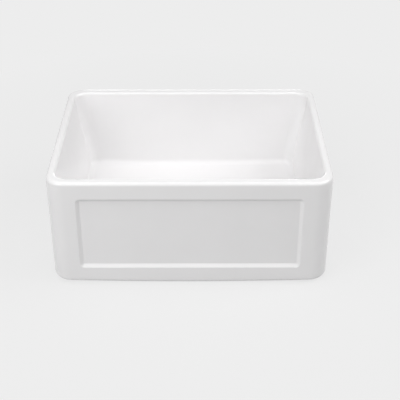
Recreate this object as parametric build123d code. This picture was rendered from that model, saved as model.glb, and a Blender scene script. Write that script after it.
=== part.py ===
from build123d import *
import math
import os

# A fireclay apron-front kitchen sink with the basket strainer in its drain.
# All sizes are in millimetres. X runs left to right, Y from the apron to the back, and Z up.
# The origin is the middle of the flat foot that the sink rests on.

# The sink, outside
SINK_WIDTH = 600.0
SINK_DEPTH = 457.0
SINK_HEIGHT = 255.0
FRONT_CORNER = 40.0            # radius of the two upright corners beside the apron
BACK_CORNER = 35.0             # radius of the two upright corners at the back
RIM_OUTER_ROUNDING = 8.0
RIM_INNER_ROUNDING = 6.0
BASE_ROUNDING = 10.0
SKIRT_GAP = 0.6                # height of the lower edge over the foot, in the middle
SKIRT_BOW = 5.5                # how much higher the lower edge is at its two ends
FOOT_INSET = 16.0              # from the outside to the edge of the ground foot
FOOT_BURIED = 14.0             # height to which the foot runs up inside the clay

# The recessed panel on the apron
PANEL_SIDE_MARGIN = 62.0
PANEL_TOP_MARGIN = 39.0
PANEL_BOTTOM_MARGIN = 42.0
PANEL_SINK = 5.5               # how deep the panel lies behind the apron's face
PANEL_BEVEL = 7.5              # width of the slope round it
PANEL_CORNER = 10.0
PANEL_SOFTENING = 2.0

# The basin
SIDE_WALL = 17.5               # the walls at the rim; they grow thicker downwards
FRONT_WALL = 20.0
BACK_WALL = 22.5
BASIN_CORNER = 30.0            # radius of its corners at the rim
BASIN_FOOT_CORNER = 24.0       # radius of its corners at the floor
SIDE_LEAN = 9.3                # of its two side walls, in degrees from upright
END_LEAN = 4.8                 # of its front and back walls
FLOOR_LEVEL = 64.0             # height of the floor beside the drain
FLOOR_DISH_RADIUS = 9000.0     # the floor is a shallow dish round the drain
FLOOR_COVE = 14.0

# The hollow under the floor
FLOOR_THICKNESS = 27.0         # of the clay beside the drain
FOOT_WIDTH = 24.0              # of the ground foot that runs round the hollow
HOLLOW_CORNER = 25.0
HOLLOW_LEAN = 6.0              # of its walls, in degrees from upright
HOLLOW_ROUNDING = 12.0

# The drain opening
DRAIN_TO_BACK = 198.5          # from the back of the sink to the drain's axis
SEAT_DEPTH = 4.0
SEAT_GAP = 2.0                 # between the seat's wall and the flange
SEAT_SOFTENING = 2.5

# The strainer body: flange, threaded bowl and outlet neck
FLANGE_THICKNESS = 1.6
FLANGE_OVERLAP = 12.0          # how far it reaches over the edge of the drain hole
SEAL_THICKNESS = 1.5
BOWL_RADIUS = 39.0             # inside
BOWL_DEPTH = 53.0              # from the flange to where the wall meets the bowl's floor
BOWL_FLOOR_FALL = 4.0          # from the wall to the outlet
BOWL_WALL = 2.2
BOWL_FLOOR_ROUNDING = 6.0
MOUTH_ROUNDING = 6.0
THREAD_PITCH = 2.4
THREAD_HEIGHT = 1.2
BOWL_THREAD_LENGTH = 42.0
BOWL_THREAD_START = 6.0        # below the flange
NECK_BORE_RADIUS = 19.5
NECK_WALL = 2.8
NECK_LENGTH = 30.0             # from the bowl's floor to the outlet's end
NECK_THREAD_LENGTH = 19.0
THREAD_PLAY = 0.15             # between a nut's thread and the one that it runs on
DRAIN_HOLE_PLAY = 2.6          # between the drain hole and the bowl's thread

# What clamps the strainer under the base
GASKET_OVERLAP = 13.0          # how far it reaches past the edge of the drain hole
GASKET_THICKNESS = 4.0
FRICTION_OVERLAP = 11.0
FRICTION_THICKNESS = 1.2
RING_PLAY = 0.4                # between these rings and the bowl's thread
LOCKNUT_WALL = 8.6             # from the bowl's thread to the nut's outside
LOCKNUT_FLANGE_WIDTH = 5.0     # how far its flange stands out
LOCKNUT_FLANGE_THICKNESS = 3.0
LOCKNUT_HEIGHT = 13.0
LOCKNUT_LUGS = 4
LUG_REACH = 9.0
LUG_WIDTH = 12.0
LUG_ROUNDING = 2.0

# The tailpiece and its nut
TAILPIECE_RADIUS = 19.05
TAILPIECE_WALL = 1.2
TAILPIECE_LENGTH = 102.0
TAILPIECE_LIP_RADIUS = 22.4
TAILPIECE_LIP_THICKNESS = 1.5
WASHER_THICKNESS = 2.5
WASHER_SPIGOT_LENGTH = 9.0
WASHER_SPIGOT_WALL = 1.1
WASHER_SPIGOT_PLAY = 0.15
COUPLING_NUT_WALL = 3.2
COUPLING_NUT_LIP = 3.0
COUPLING_NUT_PLAY = 0.9        # between its lip and the tailpiece
COUPLING_NUT_RIBS = 10
RIB_RADIUS = 3.2
COUPLING_NUT_OVERLAP = 17.0    # height of the neck's thread that the nut takes

# The cross bar in the outlet
CROSS_BAR_DROP = 5.0           # from the outlet's mouth down to the bar
CROSS_BAR_HEIGHT = 4.0
CROSS_BAR_RIM = 2.2
CROSS_BAR_HUB_RADIUS = 7.5
CROSS_BAR_HOLE_RADIUS = 4.7
CROSS_BAR_ARMS = 4
CROSS_BAR_ARM_WIDTH = 3.0

# The basket and the post that carries it
MOVING_GAP = 0.3               # between surfaces that would meet as the basket moves
POST_RADIUS = 3.0
POST_RUNNING_GAP = 0.05
POST_COLLAR_RADIUS = 5.5
POST_COLLAR_HEIGHT = 1.2
POST_TIP_RADIUS = 2.2
STOPPER_INSET = 9.0            # from the bowl's wall to the disc's edge
STOPPER_EDGE = 3.6
STOPPER_ROUNDING = 1.0
PLATE_INSET = 8.0              # from the disc's edge to the plate's edge
PLATE_THICKNESS = 1.0
STOPPER_NUT_FLATS = 10.0       # across the flats
STOPPER_NUT_HEIGHT = 4.0
BASKET_SHEET = 0.9
BASKET_PLAY = 0.8              # between the basket's rim and the bowl
BASKET_RIM_WIDTH = 2.2
BASKET_LEAN = 12.0             # how much wider it is at the mouth than at the base
BASKET_HEIGHT = 42.0
BASKET_BEAD = 2.0
BASKET_BASE_ROUNDING = 3.0
HUB_HEIGHT = 4.0
HUB_WALL = 1.4
BASKET_SLOTS = 20
SLOT_WIDTH = 3.0
SLOT_LENGTH = 17.0
BASE_HOLE_RADIUS = 2.0
BASE_HOLE_INSETS = (5.5, 12.5)   # from the edge of the base to the two rings of holes
BASE_HOLE_COUNTS = (14, 8)
KNOB_RADIUS = 11.0
KNOB_NECK_RADIUS = 4.6
KNOB_HEAD_HEIGHT = 6.0
KNOB_HEIGHT = 34.0
KNOB_BORE_DEPTH = 12.0
CLIP_RADIUS = 4.2
CLIP_SHEET = 0.5
CLIP_LENGTH = 9.0
CLIP_SLITS = 4
CLIP_SLIT_WIDTH = 0.8
POST_END = 1.0                 # of the tip, below the clip

# Places that follow from the sizes above
DRAIN_Y = SINK_DEPTH / 2 - DRAIN_TO_BACK
DRAIN_AXIS = Axis((0, DRAIN_Y, 0), (0, 0, 1))
SEAT_LEVEL = FLOOR_LEVEL - SEAT_DEPTH
HOLLOW_TOP = FLOOR_LEVEL - FLOOR_THICKNESS
FLANGE_UNDERSIDE = SEAT_LEVEL + SEAL_THICKNESS
FLANGE_TOP = FLANGE_UNDERSIDE + FLANGE_THICKNESS
THREAD_ROOT_RADIUS = BOWL_RADIUS + BOWL_WALL
THREAD_CREST_RADIUS = THREAD_ROOT_RADIUS + THREAD_HEIGHT
THREAD_TOP = FLANGE_UNDERSIDE - BOWL_THREAD_START
DRAIN_HOLE_RADIUS = THREAD_CREST_RADIUS + DRAIN_HOLE_PLAY
FLANGE_RADIUS = DRAIN_HOLE_RADIUS + FLANGE_OVERLAP
GASKET_RADIUS = DRAIN_HOLE_RADIUS + GASKET_OVERLAP
FRICTION_RADIUS = DRAIN_HOLE_RADIUS + FRICTION_OVERLAP
LOCKNUT_RADIUS = THREAD_CREST_RADIUS + LOCKNUT_WALL
LUG_RADIUS = LOCKNUT_RADIUS + LUG_REACH
BOWL_FLOOR_EDGE = FLANGE_TOP - BOWL_DEPTH
BOWL_FLOOR_LEVEL = BOWL_FLOOR_EDGE - BOWL_FLOOR_FALL
NECK_CREST_RADIUS = NECK_BORE_RADIUS + NECK_WALL + THREAD_HEIGHT
NECK_END = BOWL_FLOOR_LEVEL - NECK_LENGTH
GASKET_UNDERSIDE = HOLLOW_TOP - GASKET_THICKNESS
FRICTION_UNDERSIDE = GASKET_UNDERSIDE - FRICTION_THICKNESS
LOCKNUT_END = FRICTION_UNDERSIDE - LOCKNUT_HEIGHT
WASHER_UNDERSIDE = NECK_END - WASHER_THICKNESS
LIP_UNDERSIDE = WASHER_UNDERSIDE - TAILPIECE_LIP_THICKNESS
CROSS_BAR_TOP = BOWL_FLOOR_LEVEL - CROSS_BAR_DROP
STOPPER_UNDERSIDE = BOWL_FLOOR_LEVEL + MOVING_GAP
STOPPER_RADIUS = BOWL_RADIUS - STOPPER_INSET
PLATE_RADIUS = STOPPER_RADIUS - PLATE_INSET
BASKET_RIM_RADIUS = BOWL_RADIUS - BASKET_PLAY
BASKET_MOUTH_RADIUS = BASKET_RIM_RADIUS - BASKET_RIM_WIDTH
BASKET_BASE_RADIUS = BASKET_MOUTH_RADIUS - BASKET_LEAN


def bowl_floor_height(radius):
    """Height of the sloping floor of the bowl at this distance from the drain's axis."""
    share = (radius - NECK_BORE_RADIUS) / (BOWL_RADIUS - NECK_BORE_RADIUS)
    return BOWL_FLOOR_LEVEL + BOWL_FLOOR_FALL * share


STOPPER_EDGE_UNDERSIDE = bowl_floor_height(STOPPER_RADIUS) + MOVING_GAP
STOPPER_TOP = STOPPER_EDGE_UNDERSIDE + STOPPER_EDGE
PLATE_TOP = STOPPER_TOP + PLATE_THICKNESS
BASKET_BASE = PLATE_TOP + MOVING_GAP
BASKET_RIM_TOP = BASKET_BASE + BASKET_HEIGHT
HUB_TOP = BASKET_BASE + HUB_HEIGHT
COLLAR_BASE = HUB_TOP + MOVING_GAP
COLLAR_TOP = COLLAR_BASE + POST_COLLAR_HEIGHT
KNOB_BASE = COLLAR_TOP
KNOB_TOP = KNOB_BASE + KNOB_HEIGHT
STOPPER_NUT_END = STOPPER_UNDERSIDE - STOPPER_NUT_HEIGHT
CLIP_TOP = CROSS_BAR_TOP - CROSS_BAR_HEIGHT + CLIP_SHEET
CLIP_END = CLIP_TOP - CLIP_LENGTH
POST_TIP_END = CLIP_END - POST_END


def turned(*corners):
    """A solid turned about the drain's axis. A corner is (radius, height) or (radius, height, rounding)."""
    points = [corner[:2] for corner in corners]
    roundings = [corner[2] if len(corner) > 2 else 0 for corner in corners]
    if any(roundings):
        outline = FilletPolyline(*points, radius=roundings, close=True)
    else:
        outline = Polyline(*points, close=True)
    return Pos(0, DRAIN_Y, 0) * revolve(Plane.XZ * make_face(outline), Axis.Z)


def ring(outer_radius, inner_radius, top, bottom):
    """A plain flat ring about the drain's axis."""
    return turned((inner_radius, bottom), (outer_radius, bottom), (outer_radius, top), (inner_radius, top))


def thread_corners(root_radius, top, length):
    """The edge of a thread, from its top down, as the corners of one blunt ridge after another."""
    ridges = int(length / THREAD_PITCH)
    crest = root_radius + THREAD_HEIGHT
    corners = []
    for turn in range(ridges):
        ridge_top = top - turn * THREAD_PITCH
        corners += [
            (root_radius, ridge_top),
            (crest, ridge_top - 0.3 * THREAD_PITCH),
            (crest, ridge_top - 0.5 * THREAD_PITCH),
            (root_radius, ridge_top - 0.8 * THREAD_PITCH),
        ]
    return corners


def thread_space(root_radius, top, length):
    """The space that a nut's bore leaves round a thread, with some play."""
    bore = root_radius + THREAD_PLAY
    above = top + length
    below = top - 2 * length
    return turned((0, above), (bore, above), *thread_corners(bore, top, length), (bore, below), (0, below))


# --- The sink ---

def outside_outline():
    """The sink seen from above."""
    outline = Rectangle(SINK_WIDTH, SINK_DEPTH)
    outline = fillet(outline.vertices().group_by(Axis.Y)[0], radius=FRONT_CORNER)
    return fillet(outline.vertices().group_by(Axis.Y)[-1], radius=BACK_CORNER)


def skirt_curve():
    """A great drum whose lowest part is the lower edge of the skirt, which bows up towards both ends."""
    reach = SINK_WIDTH / 2
    radius = (reach**2 + SKIRT_BOW**2) / (2 * SKIRT_BOW)
    return Pos(0, 0, SKIRT_GAP + radius) * Rot(90, 0, 0) * Cylinder(radius, 2 * SINK_DEPTH)


def ground_foot(outline):
    """The flat unglazed foot, a little inside the skirt."""
    return extrude(offset(outline, amount=-FOOT_INSET), amount=FOOT_BURIED)


def basin_space():
    """The room in the basin: leaning walls, corners that tighten downwards, and a dished floor."""
    width = SINK_WIDTH - 2 * SIDE_WALL
    depth = SINK_DEPTH - FRONT_WALL - BACK_WALL
    centre_y = (FRONT_WALL - BACK_WALL) / 2
    drop = SINK_HEIGHT - SEAT_LEVEL
    foot_width = width - 2 * drop * math.tan(math.radians(SIDE_LEAN))
    foot_depth = depth - 2 * drop * math.tan(math.radians(END_LEAN))
    mouth = RectangleRounded(width, depth, BASIN_CORNER)
    foot = RectangleRounded(foot_width, foot_depth, BASIN_FOOT_CORNER)
    walls = loft([Pos(0, centre_y, SEAT_LEVEL) * foot, Pos(0, centre_y, SINK_HEIGHT) * mouth], ruled=True)
    lying = Rot(90, 0, 0) * Sphere(FLOOR_DISH_RADIUS)
    space = walls & Pos(0, DRAIN_Y, FLOOR_LEVEL + FLOOR_DISH_RADIUS) * lying
    floor = space.faces().filter_by(GeomType.SPHERE)[0]
    return fillet(floor.edges(), radius=FLOOR_COVE)


def panel_space():
    """The shallow recess in the apron, with a slope all round and a soft inner edge."""
    width = SINK_WIDTH - 2 * PANEL_SIDE_MARGIN
    height = SINK_HEIGHT - PANEL_TOP_MARGIN - PANEL_BOTTOM_MARGIN
    middle = PANEL_BOTTOM_MARGIN + height / 2
    face = Plane(origin=(0, -SINK_DEPTH / 2, middle), x_dir=(1, 0, 0), z_dir=(0, 1, 0))
    slope = math.degrees(math.atan2(PANEL_BEVEL, PANEL_SINK))
    space = extrude(face * RectangleRounded(width, height, PANEL_CORNER), amount=PANEL_SINK, taper=slope)
    return fillet(space.faces().sort_by(Axis.Y)[-1].edges(), radius=PANEL_SOFTENING)


def hollow_space():
    """The room under the floor, which keeps the clay to an even thickness and takes the drain's clamp."""
    inset = FOOT_INSET + FOOT_WIDTH
    outline = RectangleRounded(SINK_WIDTH - 2 * inset, SINK_DEPTH - 2 * inset, HOLLOW_CORNER)
    space = extrude(outline, amount=HOLLOW_TOP, taper=HOLLOW_LEAN)
    return fillet(space.faces().sort_by(Axis.Z)[-1].edges(), radius=HOLLOW_ROUNDING)


def drain_opening():
    """The drain hole, and the seat for the flange in the floor."""
    above = FLOOR_LEVEL + SEAT_DEPTH
    hole = ring(DRAIN_HOLE_RADIUS, 0, above, HOLLOW_TOP - SEAT_DEPTH)
    seat = ring(FLANGE_RADIUS + SEAT_GAP, 0, above, SEAT_LEVEL)
    return hole + seat


def sink_body():
    outline = outside_outline()
    body = extrude(outline, amount=SINK_HEIGHT) & skirt_curve()
    body = fillet(body.faces().sort_by(Axis.Z)[0].edges(), radius=BASE_ROUNDING)
    body = fillet(body.faces().sort_by(Axis.Z)[-1].edges(), radius=RIM_OUTER_ROUNDING)
    body += ground_foot(outline)
    body -= hollow_space()
    body -= basin_space()
    rim = body.faces().sort_by(Axis.Z)[-1]
    body = fillet(rim.inner_wires()[0].edges(), radius=RIM_INNER_ROUNDING)
    body -= panel_space()
    apron = body.faces().sort_by(Axis.Y)[0]
    body = fillet(apron.inner_wires()[0].edges(), radius=PANEL_SOFTENING)
    body -= drain_opening()
    floor = body.faces().filter_by(GeomType.SPHERE).sort_by(SortBy.AREA)[-1]
    return fillet(floor.inner_wires()[0].edges(), radius=SEAT_SOFTENING)


# --- The strainer, fixed in the drain ---

def flange_seal():
    """The soft rubber ring between the flange and the seat."""
    return ring(FLANGE_RADIUS, DRAIN_HOLE_RADIUS, FLANGE_UNDERSIDE, SEAT_LEVEL)


def strainer_body():
    """The flange, the threaded bowl and the outlet neck, as one turned shell."""
    neck_root = NECK_BORE_RADIUS + NECK_WALL
    neck_thread_top = NECK_END + NECK_THREAD_LENGTH
    underside_edge = BOWL_FLOOR_EDGE - BOWL_WALL
    underside_neck = BOWL_FLOOR_LEVEL - BOWL_WALL
    return turned(
        (FLANGE_RADIUS, FLANGE_UNDERSIDE),
        (FLANGE_RADIUS, FLANGE_TOP, FLANGE_THICKNESS / 2),
        (BOWL_RADIUS, FLANGE_TOP, MOUTH_ROUNDING),
        (BOWL_RADIUS, BOWL_FLOOR_EDGE, BOWL_FLOOR_ROUNDING),
        (NECK_BORE_RADIUS, BOWL_FLOOR_LEVEL, BOWL_WALL / 2),
        (NECK_BORE_RADIUS, NECK_END),
        (neck_root, NECK_END),
        *reversed(thread_corners(neck_root, neck_thread_top, NECK_THREAD_LENGTH)),
        (neck_root, underside_neck, BOWL_WALL),
        (THREAD_ROOT_RADIUS, underside_edge, BOWL_FLOOR_ROUNDING),
        *reversed(thread_corners(THREAD_ROOT_RADIUS, THREAD_TOP, BOWL_THREAD_LENGTH)),
        (THREAD_ROOT_RADIUS, FLANGE_UNDERSIDE, FLANGE_THICKNESS / 2),
    )


def cross_bar():
    """The pressed spider that guides the post: a rim, arms and a hub with a hole."""
    bottom = CROSS_BAR_TOP - CROSS_BAR_HEIGHT
    rim_inside = NECK_BORE_RADIUS - CROSS_BAR_RIM
    arm_length = rim_inside + CROSS_BAR_RIM / 2
    bar = ring(NECK_BORE_RADIUS, rim_inside, CROSS_BAR_TOP, bottom)
    bar += ring(CROSS_BAR_HUB_RADIUS, CROSS_BAR_HOLE_RADIUS, CROSS_BAR_TOP, bottom)
    reach = arm_length - (CROSS_BAR_HOLE_RADIUS + CROSS_BAR_HUB_RADIUS) / 2
    arm = Pos(arm_length - reach / 2, 0, bottom + CROSS_BAR_HEIGHT / 2) * Box(
        reach, CROSS_BAR_ARM_WIDTH, CROSS_BAR_HEIGHT
    )
    for number in range(CROSS_BAR_ARMS):
        bar += Pos(0, DRAIN_Y, 0) * Rot(0, 0, number * 360 / CROSS_BAR_ARMS) * arm
    return bar


def sink_gasket():
    return ring(GASKET_RADIUS, THREAD_CREST_RADIUS + RING_PLAY, HOLLOW_TOP, GASKET_UNDERSIDE)


def friction_washer():
    bore = THREAD_CREST_RADIUS + RING_PLAY
    return ring(FRICTION_RADIUS, bore, GASKET_UNDERSIDE, FRICTION_UNDERSIDE)


def locknut():
    """A flanged ring nut, with lugs for a hammer or a spanner."""
    flange_end = FRICTION_UNDERSIDE - LOCKNUT_FLANGE_THICKNESS
    nut = ring(LOCKNUT_RADIUS, 0, FRICTION_UNDERSIDE, LOCKNUT_END)
    nut += ring(LOCKNUT_RADIUS + LOCKNUT_FLANGE_WIDTH, 0, FRICTION_UNDERSIDE, flange_end)
    middle = (FRICTION_UNDERSIDE + LOCKNUT_END) / 2
    lug = Pos(LUG_RADIUS / 2, 0, middle) * Box(LUG_RADIUS, LUG_WIDTH, LOCKNUT_HEIGHT)
    outer_corners = lug.edges().filter_by(Axis.Z).group_by(Axis.X)[-1]
    lug = fillet(outer_corners, radius=LUG_ROUNDING)
    for number in range(LOCKNUT_LUGS):
        nut += Pos(0, DRAIN_Y, 0) * Rot(0, 0, 45 + number * 360 / LOCKNUT_LUGS) * lug
    return nut - thread_space(THREAD_ROOT_RADIUS, THREAD_TOP, BOWL_THREAD_LENGTH)


def tailpiece_washer():
    """A flanged plastic washer whose spigot centres the tailpiece."""
    outer = TAILPIECE_RADIUS - TAILPIECE_WALL - WASHER_SPIGOT_PLAY
    inner = outer - WASHER_SPIGOT_WALL
    return turned(
        (inner, NECK_END),
        (TAILPIECE_LIP_RADIUS, NECK_END),
        (TAILPIECE_LIP_RADIUS, WASHER_UNDERSIDE),
        (outer, WASHER_UNDERSIDE),
        (outer, WASHER_UNDERSIDE - WASHER_SPIGOT_LENGTH),
        (inner, WASHER_UNDERSIDE - WASHER_SPIGOT_LENGTH),
    )


def tailpiece():
    """A tube with a flared lip at its top."""
    bore = TAILPIECE_RADIUS - TAILPIECE_WALL
    end = LIP_UNDERSIDE - TAILPIECE_LENGTH
    return turned(
        (bore, WASHER_UNDERSIDE),
        (TAILPIECE_LIP_RADIUS, WASHER_UNDERSIDE),
        (TAILPIECE_LIP_RADIUS, LIP_UNDERSIDE),
        (TAILPIECE_RADIUS, LIP_UNDERSIDE),
        (TAILPIECE_RADIUS, end),
        (bore, end),
    )


def coupling_nut():
    """A slip nut with grip ribs; its lip holds the tailpiece up."""
    outer = NECK_CREST_RADIUS + COUPLING_NUT_WALL
    top = NECK_END + COUPLING_NUT_OVERLAP
    bottom = LIP_UNDERSIDE - COUPLING_NUT_LIP
    neck_root = NECK_BORE_RADIUS + NECK_WALL
    nut = ring(outer, 0, top, bottom)
    rib = Pos(outer, 0, bottom) * extrude(Circle(RIB_RADIUS), amount=top - bottom)
    for number in range(COUPLING_NUT_RIBS):
        nut += Pos(0, DRAIN_Y, 0) * Rot(0, 0, number * 360 / COUPLING_NUT_RIBS) * rib
    nut -= thread_space(neck_root, NECK_END + NECK_THREAD_LENGTH, NECK_THREAD_LENGTH)
    lip = ring(outer, TAILPIECE_RADIUS + COUPLING_NUT_PLAY, LIP_UNDERSIDE, bottom)
    return nut + lip


# --- The post, its stopper and the basket ---

def basket_post():
    """The rod through the basket, with a collar over the hub and a thin tip for the clip."""
    return turned(
        (0, KNOB_BASE + KNOB_BORE_DEPTH),
        (POST_RADIUS, KNOB_BASE + KNOB_BORE_DEPTH),
        (POST_RADIUS, COLLAR_TOP),
        (POST_COLLAR_RADIUS, COLLAR_TOP),
        (POST_COLLAR_RADIUS, COLLAR_BASE),
        (POST_RADIUS, COLLAR_BASE),
        (POST_RADIUS, CLIP_TOP),
        (POST_TIP_RADIUS, CLIP_TOP),
        (POST_TIP_RADIUS, POST_TIP_END),
        (0, POST_TIP_END),
    )


def basket_knob():
    """A mushroom knob on the post."""
    head_base = KNOB_TOP - KNOB_HEAD_HEIGHT
    bore_end = KNOB_BASE + KNOB_BORE_DEPTH
    return turned(
        (POST_RADIUS, KNOB_BASE),
        (KNOB_NECK_RADIUS + POST_COLLAR_HEIGHT, KNOB_BASE, 0.8),
        (KNOB_NECK_RADIUS, (KNOB_BASE + head_base) / 2, 30.0),
        (KNOB_NECK_RADIUS + POST_COLLAR_HEIGHT, head_base, 2.0),
        (KNOB_RADIUS, head_base, 1.6),
        (KNOB_RADIUS, KNOB_TOP - KNOB_HEAD_HEIGHT / 3, 1.8),
        (KNOB_RADIUS / 2, KNOB_TOP, 4.0),
        (0, KNOB_TOP),
        (0, bore_end),
        (POST_RADIUS, bore_end),
    )


def stopper_plate():
    return ring(PLATE_RADIUS, POST_RADIUS, PLATE_TOP, STOPPER_TOP)


def stopper_disc():
    """The rubber disc, whose underside has the slope of the bowl's floor."""
    return turned(
        (POST_RADIUS, STOPPER_TOP),
        (STOPPER_RADIUS, STOPPER_TOP, STOPPER_ROUNDING),
        (STOPPER_RADIUS, STOPPER_EDGE_UNDERSIDE, STOPPER_ROUNDING),
        (NECK_BORE_RADIUS, STOPPER_UNDERSIDE),
        (POST_RADIUS, STOPPER_UNDERSIDE),
    )


def stopper_nut():
    """The hexagon nut that holds the disc and the plate on the post."""
    hexagon = RegularPolygon(STOPPER_NUT_FLATS / 2, 6, major_radius=False) - Circle(POST_RADIUS)
    return Pos(0, DRAIN_Y, STOPPER_NUT_END) * extrude(hexagon, amount=STOPPER_NUT_HEIGHT)


def basket_blank():
    """The basket as one pressed sheet: hub, base, leaning wall and rolled rim."""
    hub_bore = POST_RADIUS + POST_RUNNING_GAP
    wall_foot = BASKET_BASE + BASKET_SHEET
    bead_base = BASKET_RIM_TOP - BASKET_BEAD
    mouth_outside = BASKET_MOUTH_RADIUS + BASKET_SHEET
    return turned(
        (hub_bore, BASKET_BASE),
        (BASKET_BASE_RADIUS, BASKET_BASE, BASKET_BASE_ROUNDING + BASKET_SHEET),
        (mouth_outside, bead_base),
        (BASKET_RIM_RADIUS, bead_base, BASKET_BEAD / 3),
        (BASKET_RIM_RADIUS, BASKET_RIM_TOP, BASKET_BEAD / 3),
        (BASKET_MOUTH_RADIUS, BASKET_RIM_TOP, BASKET_BEAD / 3),
        (BASKET_MOUTH_RADIUS, bead_base),
        (BASKET_BASE_RADIUS - BASKET_SHEET, wall_foot, BASKET_BASE_ROUNDING),
        (hub_bore + HUB_WALL, wall_foot, HUB_WALL / 2),
        (hub_bore + HUB_WALL, HUB_TOP),
        (hub_bore, HUB_TOP),
    )


def basket_cup():
    """The basket with its slots round the wall and its holes in the base."""
    slot_middle = (BASKET_BASE + BASKET_RIM_TOP) / 2
    slot_face = Plane(origin=(BASKET_BASE_RADIUS / 2, DRAIN_Y, slot_middle), x_dir=(0, 0, 1), z_dir=(1, 0, 0))
    slot = extrude(slot_face * SlotOverall(SLOT_LENGTH, SLOT_WIDTH), amount=BASKET_RIM_RADIUS)
    openings = [slot.rotate(DRAIN_AXIS, number * 360 / BASKET_SLOTS) for number in range(BASKET_SLOTS)]
    for inset, count in zip(BASE_HOLE_INSETS, BASE_HOLE_COUNTS):
        hole_middle = Pos(BASKET_BASE_RADIUS - inset, DRAIN_Y, BASKET_BASE)
        hole = hole_middle * Cylinder(BASE_HOLE_RADIUS, 4 * BASKET_SHEET)
        openings += [hole.rotate(DRAIN_AXIS, number * 360 / count) for number in range(count)]
    return basket_blank() - openings


def post_clip():
    """The split spring clip on the post's tip, which bulges under the cross bar."""
    middle = (CLIP_TOP + CLIP_END) / 2
    bulge = CLIP_RADIUS - CLIP_SHEET
    clip = turned(
        (POST_TIP_RADIUS, CLIP_END),
        (POST_TIP_RADIUS + CLIP_SHEET, CLIP_END),
        (CLIP_RADIUS, middle, CLIP_SHEET),
        (POST_TIP_RADIUS + CLIP_SHEET, CLIP_TOP),
        (POST_TIP_RADIUS, CLIP_TOP),
        (POST_TIP_RADIUS, CLIP_TOP - CLIP_SHEET),
        (bulge, middle, CLIP_SHEET),
        (POST_TIP_RADIUS, CLIP_END + CLIP_SHEET),
    )
    slit_length = CLIP_LENGTH / 2
    slit = Pos(0, DRAIN_Y, middle) * Box(2 * CLIP_RADIUS, CLIP_SLIT_WIDTH, slit_length)
    for number in range(CLIP_SLITS // 2):
        clip -= slit.rotate(DRAIN_AXIS, number * 360 / CLIP_SLITS)
    return clip


PIECES = {
    "sink_body": sink_body,
    "flange_seal": flange_seal,
    "strainer_body": strainer_body,
    "cross_bar": cross_bar,
    "sink_gasket": sink_gasket,
    "friction_washer": friction_washer,
    "locknut": locknut,
    "tailpiece_washer": tailpiece_washer,
    "coupling_nut": coupling_nut,
    "tailpiece": tailpiece,
    "basket_cup": basket_cup,
    "basket_post": basket_post,
    "basket_knob": basket_knob,
    "stopper_plate": stopper_plate,
    "stopper_disc": stopper_disc,
    "stopper_nut": stopper_nut,
    "post_clip": post_clip,
}

os.makedirs("parts", exist_ok=True)
for name, make_piece in PIECES.items():
    export_step(make_piece(), f"parts/{name}.step")
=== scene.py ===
"""The looks of a white fireclay apron-front sink and the basket strainer in its drain.

Every length is in metres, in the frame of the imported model: X runs left to right, Y from the apron
to the back and Z up, and the origin is the middle of the foot that the sink rests on.
"""

import logging
import math
from dataclasses import dataclass, field
from enum import Enum
from typing import Callable, Iterable, Sequence

import bmesh
import bpy
import numpy as np
from mathutils import Euler, Matrix, Vector


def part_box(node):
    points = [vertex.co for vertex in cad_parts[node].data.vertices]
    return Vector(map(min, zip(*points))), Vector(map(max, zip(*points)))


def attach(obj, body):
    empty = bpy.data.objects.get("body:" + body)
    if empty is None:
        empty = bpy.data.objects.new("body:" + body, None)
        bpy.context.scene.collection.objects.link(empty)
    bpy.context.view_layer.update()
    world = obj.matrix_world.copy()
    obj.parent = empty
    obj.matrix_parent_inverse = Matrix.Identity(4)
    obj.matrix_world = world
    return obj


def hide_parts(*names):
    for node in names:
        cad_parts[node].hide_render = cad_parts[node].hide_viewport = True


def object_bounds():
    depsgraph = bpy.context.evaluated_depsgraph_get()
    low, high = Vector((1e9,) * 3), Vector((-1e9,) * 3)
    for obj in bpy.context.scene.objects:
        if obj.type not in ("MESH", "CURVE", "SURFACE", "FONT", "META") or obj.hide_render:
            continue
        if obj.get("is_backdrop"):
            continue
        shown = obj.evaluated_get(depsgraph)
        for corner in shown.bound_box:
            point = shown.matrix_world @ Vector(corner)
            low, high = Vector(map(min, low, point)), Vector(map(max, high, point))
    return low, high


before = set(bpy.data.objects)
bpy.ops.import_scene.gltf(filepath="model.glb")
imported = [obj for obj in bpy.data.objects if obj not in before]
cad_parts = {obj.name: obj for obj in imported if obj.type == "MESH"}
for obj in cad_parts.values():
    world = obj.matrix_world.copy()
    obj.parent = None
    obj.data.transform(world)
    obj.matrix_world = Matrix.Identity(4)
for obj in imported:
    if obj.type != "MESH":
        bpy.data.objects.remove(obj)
CAD_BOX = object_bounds()

LOG = logging.getLogger("apron_sink")
MERGE_DISTANCE = 1e-6
SHARP_ANGLE = math.radians(38)

# The largest turn from one point of a rounding to the next, and how much of an edge a rounding may take
ARC_STEP = math.radians(11)
LONGEST_REACH = 0.49

# How far the turned edges are rounded, from a sheared sheet to a moulded grip
KEEN_EDGE = 0.0003
FINE_EDGE = 0.0004
CUT_EDGE = 0.0005
EASED_EDGE = 0.0006
SOFT_EDGE = 0.0010
ROUND_EDGE = 0.0012

Corner = tuple[float, ...]
Colour = tuple[float, float, float]


class Body(Enum):
    """The bodies that pieces ride on."""

    SINK = "sink"
    STOPPER = "stopper"
    BASKET = "basket"


class Slot(Enum):
    """The material slots of the record."""

    GLAZE = "fireclay_glaze"
    STRAINER_STEEL = "strainer_steel"
    BASKET_STEEL = "basket_steel"
    ZINC = "zinc_plate"
    CHROME = "chromed_tube"
    BLACK_RUBBER = "black_rubber"
    GREY_RUBBER = "grey_rubber"
    FIBRE = "fibre_board"
    NYLON = "white_nylon"


def drain_centre() -> Vector:
    """Finds the drain's axis.

    Returns:
        A point at the height of the foot.
    """
    low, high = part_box("tailpiece")
    return Vector(((low.x + high.x) / 2, (low.y + high.y) / 2, 0.0))


DRAIN = drain_centre()


# --- Nodes ---

# Where the colour form of the Mix node keeps its two colours and its result
MIX_FIRST, MIX_SECOND, MIX_RESULT = 6, 7, 2


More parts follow.
